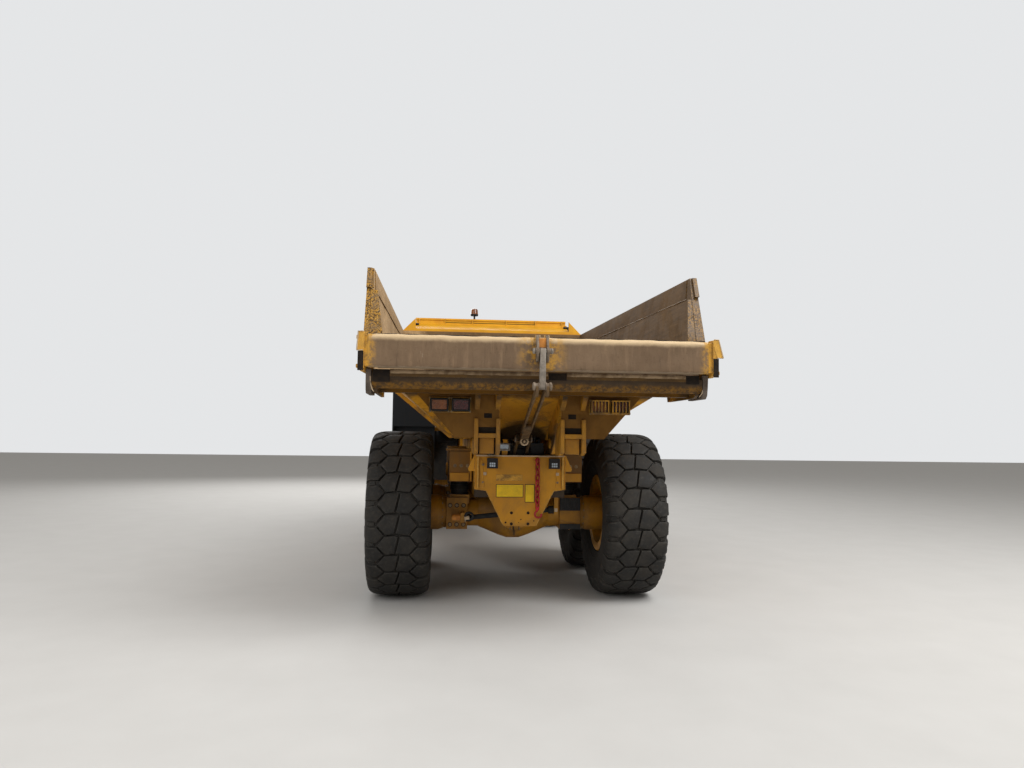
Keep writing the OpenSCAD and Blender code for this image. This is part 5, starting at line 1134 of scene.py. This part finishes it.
rails = Piece("cab_grab_rails", "front_frame", "black")
for s in BOTH:
    rails.tube([(XF + 0.325, s * (CAB_HALF + y), z) for y, z in (
        (0, 1.9), (0.047, 1.905), (0.055, 1.93), (0.055, 2.86), (0.047, 2.885), (0, 2.89))], 0.014, 12)
for s in BOTH:
    rails.tube([(x, s * (CAB_HALF - 0.12), CAB_TOP + z) for x, z in (
        (CAB_REAR + 0.22, -0.002), (CAB_REAR + 0.24, 0.03), (CAB_FRONT - 0.5, 0.03),
        (CAB_FRONT - 0.48, -0.002))],
        0.011, 10)
rails.done(smooth=60)
wipers = Piece("wipers", "front_frame", "black")
for y0, y1 in ((0.1, 0.38), (-0.56, -0.28)):
    foot, tip = screen(y0, 2.375, 0.004), screen(y1, 2.86, 0.016)
    wipers.lathe(foot - lean * 0.01, lean, [(0, 0.022), (0.02, 0.022), (0.026, 0.014)], 20)
    wipers.tube([foot + lean * 0.012, foot + lean * 0.03 + (tip - foot) * 0.3, tip + lean * 0.012], 0.006)
    blade = (tip - foot).normalized()
    wipers.tube([tip - blade * 0.3, tip + blade * 0.26], 0.007, 6)
    wipers.block(tip + lean * 0.008, (0.02, 0.02, 0.02))
wipers.tube([screen(-0.7, 2.38, 0.003), screen(0.7, 2.38, 0.003)], 0.006)
wipers.done(smooth=50)
lamps = Piece("roof_work_lamps", "front_frame", "black")
lens_piece = Piece("roof_lamp_lenses", "front_frame", "clear")
x, z = screen(0, 3.215).x + 0.045, 3.215
for y in (0.58, -0.58):
    lamps.box(x - 0.07, x, y - 0.062, y + 0.062, z - 0.042, z + 0.042)
    lamps.rod((x - 0.08, y, z - 0.01), (x - 0.03, y, z - 0.01), 0.014, 12)
    lens_piece.box(x, x + 0.006, y - 0.052, y + 0.052, z - 0.033, z + 0.033)
lamps.done(0.008, 3)
lens_piece.done(0.004)
seams = Piece("cab_panel_strips", "front_frame", "slate")
for s in BOTH:
    y0 = s * (CAB_HALF - 0.002)
    seams.box(CAB_REAR + 0.06, CAB_FRONT - 0.03, y0, s * (CAB_HALF + 0.006), 1.765, 1.792)
    for z in (1.9, 2.12):
        seams.box(CAB_REAR + 0.08, XF - 0.64, y0, s * (CAB_HALF + 0.004), z, z + 0.014)
for z in (1.9, 2.12):
    seams.box(CAB_REAR - 0.004, CAB_REAR + 0.002, -0.66, 0.66, z, z + 0.014)
seams.done(0.003)


# Seat, dash and steering wheel

def evaluated_mesh(obj):
    return bpy.data.meshes.new_from_object(obj.evaluated_get(bpy.context.evaluated_depsgraph_get()))


def padded_block(name, size, channels, place, turn):
    """A cushion swollen by simulated cloth, with sewn channels across its top."""
    bm = bmesh.new()
    bmesh.ops.create_cube(bm, size=1.0)
    for v in bm.verts:
        v.co = Vector([c * (s - 0.022) for c, s in zip(v.co, size)])
    bmesh.ops.bevel(bm, geom=bm.edges[:], offset=0.020, segments=3, profile=0.6, affect="EDGES")
    mesh = bpy.data.meshes.new(name + "_start")
    bm.to_mesh(mesh)
    bm.free()
    start = bpy.data.objects.new(name + "_start", mesh)
    scene.collection.objects.link(start)
    remesh = start.modifiers.new("remesh", "REMESH")
    remesh.mode = "VOXEL"
    remesh.voxel_size = 0.011
    skin = evaluated_mesh(start)
    bpy.data.objects.remove(start)
    obj = bpy.data.objects.new(name, skin)
    scene.collection.objects.link(obj)
    before = [v.co.copy() for v in skin.vertices]
    cloth = obj.modifiers.new("cloth", "CLOTH")
    cloth.settings.use_pressure = True
    cloth.settings.uniform_pressure_force = 4
    cloth.settings.effector_weights.gravity = 0
    for number in range(1, 21):
        scene.frame_set(number)
    swollen = evaluated_mesh(obj)
    obj.modifiers.remove(cloth)
    obj.data = swollen
    scene.frame_set(1)
    most, half = 0.016, Vector(size) / 2
    for v, old in zip(obj.data.vertices, before):
        push = v.co - old
        if push.length > most:
            v.co = old + push * (most / push.length)
        u, w = v.co.x / half.x, v.co.y / half.y
        # Sewn channels, and the seam round the edge
        for c in channels:
            groove = math.exp(-((v.co.x - c) / 0.007) ** 2) * (1 - w ** 4)
            v.co.z -= 0.011 * max(0.0, v.co.z / half.z) * groove
        rim = math.exp(-(v.co.z / 0.008) ** 2) if abs(u) > 0.9 or abs(w) > 0.9 else 0
        v.co.x -= 0.004 * rim * u
        v.co.y -= 0.004 * rim * w
        v.co = Vector([max(-h, min(h, c)) for c, h in zip(v.co, half)])
    obj.data.transform(Matrix.Translation(place) @ turn.to_4x4())
    obj.data.materials.clear()
    obj.data.materials.append(M["seat"])
    obj.data.shade_smooth()
    divide = obj.modifiers.new("divide", "SUBSURF")
    divide.levels = divide.render_levels = 1
    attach(obj, "front_frame")


stand = Piece("seat_stand", "front_frame", "trim", XF, CAB_FLOOR)
stand.box(-0.7, -0.3, -0.2, 0.2, 0.001, 0.06)
for k in range(6):
    z, grow = 0.065 + 0.038 * k, 0.012 * (k % 2)
    stand.box(-0.69 - grow, grow - 0.31, -0.19 - grow, 0.19 + grow, z, z + 0.034)
stand.box(-0.72, -0.27, -0.215, 0.215, 0.295, 0.338)
stand.rod((-0.4, 0.215, 0.31), (-0.4, 0.25, 0.31), 0.022)
stand.done(0.006, replaces="cab_interior")
padded_block("seat_cushion", (0.50, 0.49, 0.118), (-0.13, 0.0, 0.13),
             Vector((XF - 0.48, 0, CAB_FLOOR + 0.399)), Matrix.Identity(3))
tilt = math.atan2(0.095, 0.67)
spine, thick = Vector((-math.sin(tilt), 0, math.cos(tilt))), Vector((math.cos(tilt), 0, math.sin(tilt)))
turn = Matrix((spine, Vector((0, -1, 0)), thick)).transposed()
padded_block("seat_back", (0.64, 0.47, 0.112), (-0.16, 0.0, 0.16), Vector((XF - 0.727, 0, CAB_FLOOR + 0.8)),
             turn)

dash = Piece("dash", "front_frame", "trim")
cx, cz = CAB_FRONT, CAB_FLOOR
for half, outline in (
        (0.555, ((-0.062, 0.002), (-0.062, 0.555), (-0.1, 0.575), (-0.25, 0.615), (-0.275, 0.6),
                 (-0.325, 0.525), (-0.205, 0.002))),
        (0.22, ((-0.12, 0.57), (-0.255, 0.608), (-0.24, 0.69), (-0.15, 0.67)))):
    dash.plate([(cx + x, cz + z) for x, z in outline], "Y", -half, half)
# Console and lever, which stand beside the seat, and the pedals
dash.box(XF - 0.62, XF - 0.18, -0.5, -0.3, cz + 0.001, cz + 0.42)
dash.tube([(XF - 0.28, -0.4, cz + 0.41), (XF - 0.28, -0.4, cz + 0.5), (XF - 0.275, -0.4, cz + 0.53)], 0.014,
          12)
dash.lathe((XF - 0.275, -0.4, cz + 0.52), UP, [(0, 0.018), (0.02, 0.028), (0.045, 0.026), (0.055, 0.012)],
           20)
for y in (-0.12, 0.1):
    dash.block((cx - 0.33, y, cz + 0.07), (0.1, 0.07, 0.012), Matrix.Rotation(-0.9, 3, "Y"))
    dash.tube([(cx - 0.31, y, cz + 0.09), (cx - 0.22, y, cz + 0.16)], 0.008)
dash.done(0.008, 3)
faces = Piece("dash_dials", "front_frame", "socket", CAB_FRONT, CAB_FLOOR)
for y in (-0.13, -0.045, 0.045, 0.13):
    faces.lathe((-0.244, y, 0.645), (-0.966, 0, -0.1), [(0, 0.034), (0.008, 0.034), (0.01, 0.03)], 24)
faces.done(0.001, 1)

wheel = Piece("steering_wheel", "front_frame", "black", CAB_FRONT, CAB_FLOOR, "cab_trim")
foot, axis, side = Vector((-0.3, 0, 0.56)), Vector((-0.616, 0, 0.788)), Vector((0, 1, 0))
other, hub = axis.cross(side), foot + axis * 0.12
wheel.rings([[hub + (side * math.cos(t) + other * math.sin(t)) * (0.19 + 0.0145 * math.cos(a))
              + axis * (0.0145 * math.sin(a)) for a in turns(10)] for t in turns(48)], True)
wheel.lathe(foot - axis * 0.01, axis,
            [(0, 0.03), (0.105, 0.026), (0.112, 0.052), (0.142, 0.046), (0.146, 0.02)], 28)
for t in (math.pi / 2, math.pi * 7 / 6, math.pi * 11 / 6):
    out = side * math.cos(t) + other * math.sin(t)
    wheel.tube([hub + out * 0.03 - axis * 0.004, hub + out * 0.11 - axis * 0.01, hub + out * 0.187], 0.011)
wheel.done(smooth=50)


# Hood, grille and front, from the grille's face

def hood_side(x):
    """Half of the hood's width, at x in front of the front axle."""
    return 0.65 - 0.0361 * (x - 0.54)


front = XN - 0.15
mesh = Piece("grille_mesh", "hood", "black", front)
for k in range(15):
    y = -0.35 + 0.05 * k
    mesh.box(-0.062, -0.056, y - 0.003, y + 0.003, 1.42, 1.88)
for k in range(22):
    z = 1.43 + 0.021 * k
    mesh.box(-0.066, -0.06, -0.355, 0.355, z - 0.002, z + 0.002)
mesh.done()
Piece("grille_rim", "hood", "black", front).frame_x(
    -0.012, -0.392, 0.392, 1.388, 1.912, 0.03, 0.022, AHEAD).done(0.006, 3)
louvres = Piece("hood_louvres", "hood", "black", XF)
for s in BOTH:
    for z in (1.5 + 0.045 * k for k in range(9)):
        louvres.rings([[(x, s * (hood_side(x) + dy), z + dz) for dy, dz in (
            (-0.002, 0), (0.02, 0.004), (0.006, 0.03), (-0.002, 0.034))] for x in (0.95, 1.75)])
    louvres.frame([(x, s * hood_side(x), z)
                   for x, z in ((0.92, 1.47), (1.78, 1.47), (1.78, 1.93), (0.92, 1.93))],
                  (0, s, 0), 0.022, 0.012)
    for x in (2.15, 0.78):
        louvres.block((x, s * (hood_side(x) + 0.012), 1.42), (0.05, 0.024, 0.1))
louvres.done(0.002)
ribs = Piece("hood_ribs", "hood", "hood")
for y in (-0.3, 0.3):
    ribs.rings([[(x, y - 0.018, z - 0.004), (x, y + 0.018, z - 0.004), (x, y + 0.012, z + 0.008),
                 (x, y - 0.012, z + 0.008)] for x, z in ((XF + 0.64, 2.3945), (front - 0.72, 2.203))])
ribs.done(0.003)

housing = Piece("front_lamp_housings", "front_frame", "black", front, slot="clear_lens")
lens_piece = Piece("front_lamp_lenses", "front_frame", "clear", front)
reflectors = Piece("front_lamp_reflectors", "front_frame", "chrome", front, slot="clear_lens")
for y in (0.7, 0.88, -0.7, -0.88):
    housing.plate([(y - 0.078, 1.074), (y - 0.064, 1.0605), (y + 0.064, 1.0605), (y + 0.078, 1.074),
                   (y + 0.078, 1.196), (y + 0.064, 1.21), (y - 0.064, 1.21), (y - 0.078, 1.196)],
                  "X", -0.11, -0.018)
    housing.frame_x(-0.02, y - 0.076, y + 0.076, 1.062, 1.208, 0.01, 0.018, AHEAD)
    lens_piece.box(-0.018, -0.006, y - 0.064, y + 0.064, 1.074, 1.196)
    reflectors.lathe((-0.018, y, 1.135), AHEAD, [(0, 0.052), (0.0135, 0.052), (0.0135, 0.044), (0.001, 0.03),
                                                 (0, 0.01)])
housing.done(0.004, replaces="front_lamps")
lens_piece.done(0.003)
reflectors.done(smooth=50)
pin = Piece("tow_pin", "front_frame", "steel", XN - 0.075)
pin.lathe((0, 0, 0.612), UP, [(0, 0.02), (0.004, 0.0255), (0.455, 0.0255), (0.456, 0.038), (0.476, 0.038),
                              (0.48, 0.032)], 28)
pin.tube([(0, -0.03, 1.088), (0, -0.03, 1.125), (0, 0.03, 1.125), (0, 0.03, 1.088)], 0.006)
pin.done(smooth=30)
trim = Piece("bumper_trim", "front_frame", "black", XN, slot="rubber")
trim.plate([(-0.125, -1.146), (-0.004, -0.765), (-0.004, 0.765), (-0.125, 1.146), (-0.155, 1.142),
            (-0.03, 0.75), (-0.03, -0.75), (-0.155, -1.142)], "Z", 1.058, 1.074)
for y in (0.42, 0.62, -0.42, -0.62):
    trim.lathe((-0.001, y, 0.83), AHEAD, [(-0.02, 0.03), (0, 0.03), (0.0005, 0.022)], 24)
trim.done(0.003)

# Steps, fenders, mirrors and exhaust

treads = Piece("step_treads", "front_frame", "black", STEP_X)
edges = Piece("fender_edges", "front_frame", "slate")
mats = Piece("fender_mats", "front_frame", "rubber")
glass = Piece("mirror_glass", "front_frame", "mirror", STEP_X + 0.3)
shells = Piece("mirror_shells", "front_frame", "black", STEP_X + 0.3)
for s in BOTH:
    for z in (0.506, 0.826, 1.146, 1.466):
        for x in (0.125 + 0.036 * k for k in range(8)):
            treads.box(x - 0.005, x + 0.005, s * 0.94, s * 1.44, z - 0.001, z + 0.006)
            for y in (s * (0.96 + 0.042 * j) for j in range(12)):
                treads.box(x - 0.008, x + 0.008, y - 0.006, y + 0.006, z + 0.004, z + 0.01)
    edges.box(CAB_REAR + 0.02, STEP_X + 0.024, s * 1.478, s * 1.4995, 1.722, 1.752)
    mats.box(XF - 0.6, XF + 0.3, s * 0.86, s * 1.455, 1.739, 1.746)
    for k in range(17):
        mats.box(XF - 0.57 + 0.053 * k, XF - 0.55 + 0.053 * k, s * 0.87, s * 1.445, 1.744, 1.751)
    # Lid, hinge and latches of the side box
    edges.box(CAB_REAR + 0.035, CAB_REAR + 0.44, s * 1.4985, s * 1.4995, 1.8, 2.26)
    mats.box(CAB_REAR + 0.2, CAB_REAR + 0.28, s * 1.4, s * 1.47, 2.349, 2.362)
    for z0, z1 in ((2.416, 2.724), (2.744, 2.844)):
        glass.box(0.0225, 0.0265, s * 1.286, s * 1.474, z0, z1)
    for z in (2.48, 2.78):
        shells.tube([(0, s * 1.41, z), (0.03, s * 1.41, z), (0.05, s * 1.38, z)], 0.012, 10)
    shells.rings([[(x, s * (1.38 + dy), 2.63 + dz), (x, s * (1.38 - dy), 2.63 + dz),
                   (x, s * (1.38 - dy), 2.63 - dz), (x, s * (1.38 + dy), 2.63 - dz)]
                  for x, dy, dz in ((0.088, 0.095, 0.215), (0.104, 0.07, 0.185))])
treads.done()
edges.done(0.004)
mats.done(0.002)
glass.done(0.001, 1)
shells.done(0.008, 3)

ex, ey = XF + 0.7, -0.94
bands = Piece("exhaust_bands", "front_frame", "steel")
for z in (1.85, 2.22):
    bands.lathe((ex, ey, z), UP, [(0, 0.1055), (0.002, 0.109), (0.028, 0.109), (0.03, 0.1055)], 40)
    bands.block((ex, ey + 0.118, z + 0.015), (0.03, 0.03, 0.022))
bands.lathe((ex, ey, 2.352), UP, [(0, 0.1055), (0.01, 0.1055), (0.032, 0.07), (0.034, 0.0625), (0, 0.0625)],
            40, True)
bands.lathe((ex, ey, 2.79), UP, [(0, 0.0635), (0.052, 0.065), (0.052, 0.055), (0.047, 0.055), (0.046, 0)],
            40)
bands.done(smooth=40)
shield = Piece("exhaust_shield", "front_frame", "black")
angles = [math.radians(200 + 10 * k) for k in range(15)]
for z in (1.88 + 0.046 * k for k in range(10)):
    shield.rings([[(ex + r * math.cos(t), ey + r * math.sin(t), z + dz)
                   for r, dz in ((0.122, 0), (0.125, 0), (0.125, 0.03), (0.122, 0.03))] for t in angles])
for t in angles[::7]:
    shield.block((ex + 0.117 * math.cos(t), ey + 0.117 * math.sin(t), 2.1), (0.016, 0.016, 0.46),
                 Matrix.Rotation(t, 3, "Z"))
shield.done()
# Dark disc inside the pipe's mouth: painted shade
Piece("exhaust_mouth", "front_frame", "socket").disc((ex, ey, 2.8385), UP, 0.0535, 0.0012, 32).done()

# Rubber sheets behind the front wheels, between the frame and the fenders
sheets = Piece("inner_mudguards", "front_frame", "rubber", XF)
stays = Piece("mudguard_stays", "front_frame", "black", XF)
for s in BOTH:
    sheets.plate(arc(0, 0.8, 0.905, 178, 108, 12) + arc(0, 0.8, 0.921, 108, 178, 12), "Y", s * 0.44,
                 s * 0.87)
    stays.tube([(-0.62, s * 0.42, 1.49), (-0.655, s * 0.5, 1.46), (-0.66, s * 0.76, 1.452)], 0.012)
sheets.done(0.002)
stays.done(smooth=60)

# Hitch bolts and the engine's fittings
Piece("hitch_bolts", "hitch", "bolt").bolts(
    circle((XH - 0.3, 0, 0.87), "X", 0.2, 16), BACK, 0.012, 0.014).done()
parts = Piece("engine_covers", "front_frame", "engine", XF + 0.62)
for x in (0.1 + 0.15 * k for k in range(6)):
    parts.box(x, x + 0.12, -0.1, 0.1, 1.879, 1.93)
    for s in BOTH:
        parts.rod((x + 0.06, s * 0.258, 1.7), (x + 0.06, s * 0.33, 1.66), 0.03)
        parts.box(x + 0.01, x + 0.11, s * 0.258, s * 0.272, 1.25, 1.55)
for s in BOTH:
    parts.rod((0.12, s * 0.33, 1.655), (0.93, s * 0.33, 1.655), 0.038, 20)
parts.lathe((1.062, 0, 1.45), AHEAD, [(0, 0.16), (0.03, 0.16), (0.032, 0.1), (0.06, 0.1), (0.062, 0.04)])
parts.done(0.004)
fins = Piece("radiator_fins", "front_frame", "black", XF, slot="engine_grey")
for y in (-0.46 + 0.04 * k for k in range(24)):
    fins.box(2.041, 2.052, y - 0.004, y + 0.004, 1.3, 1.9)
fins.done()
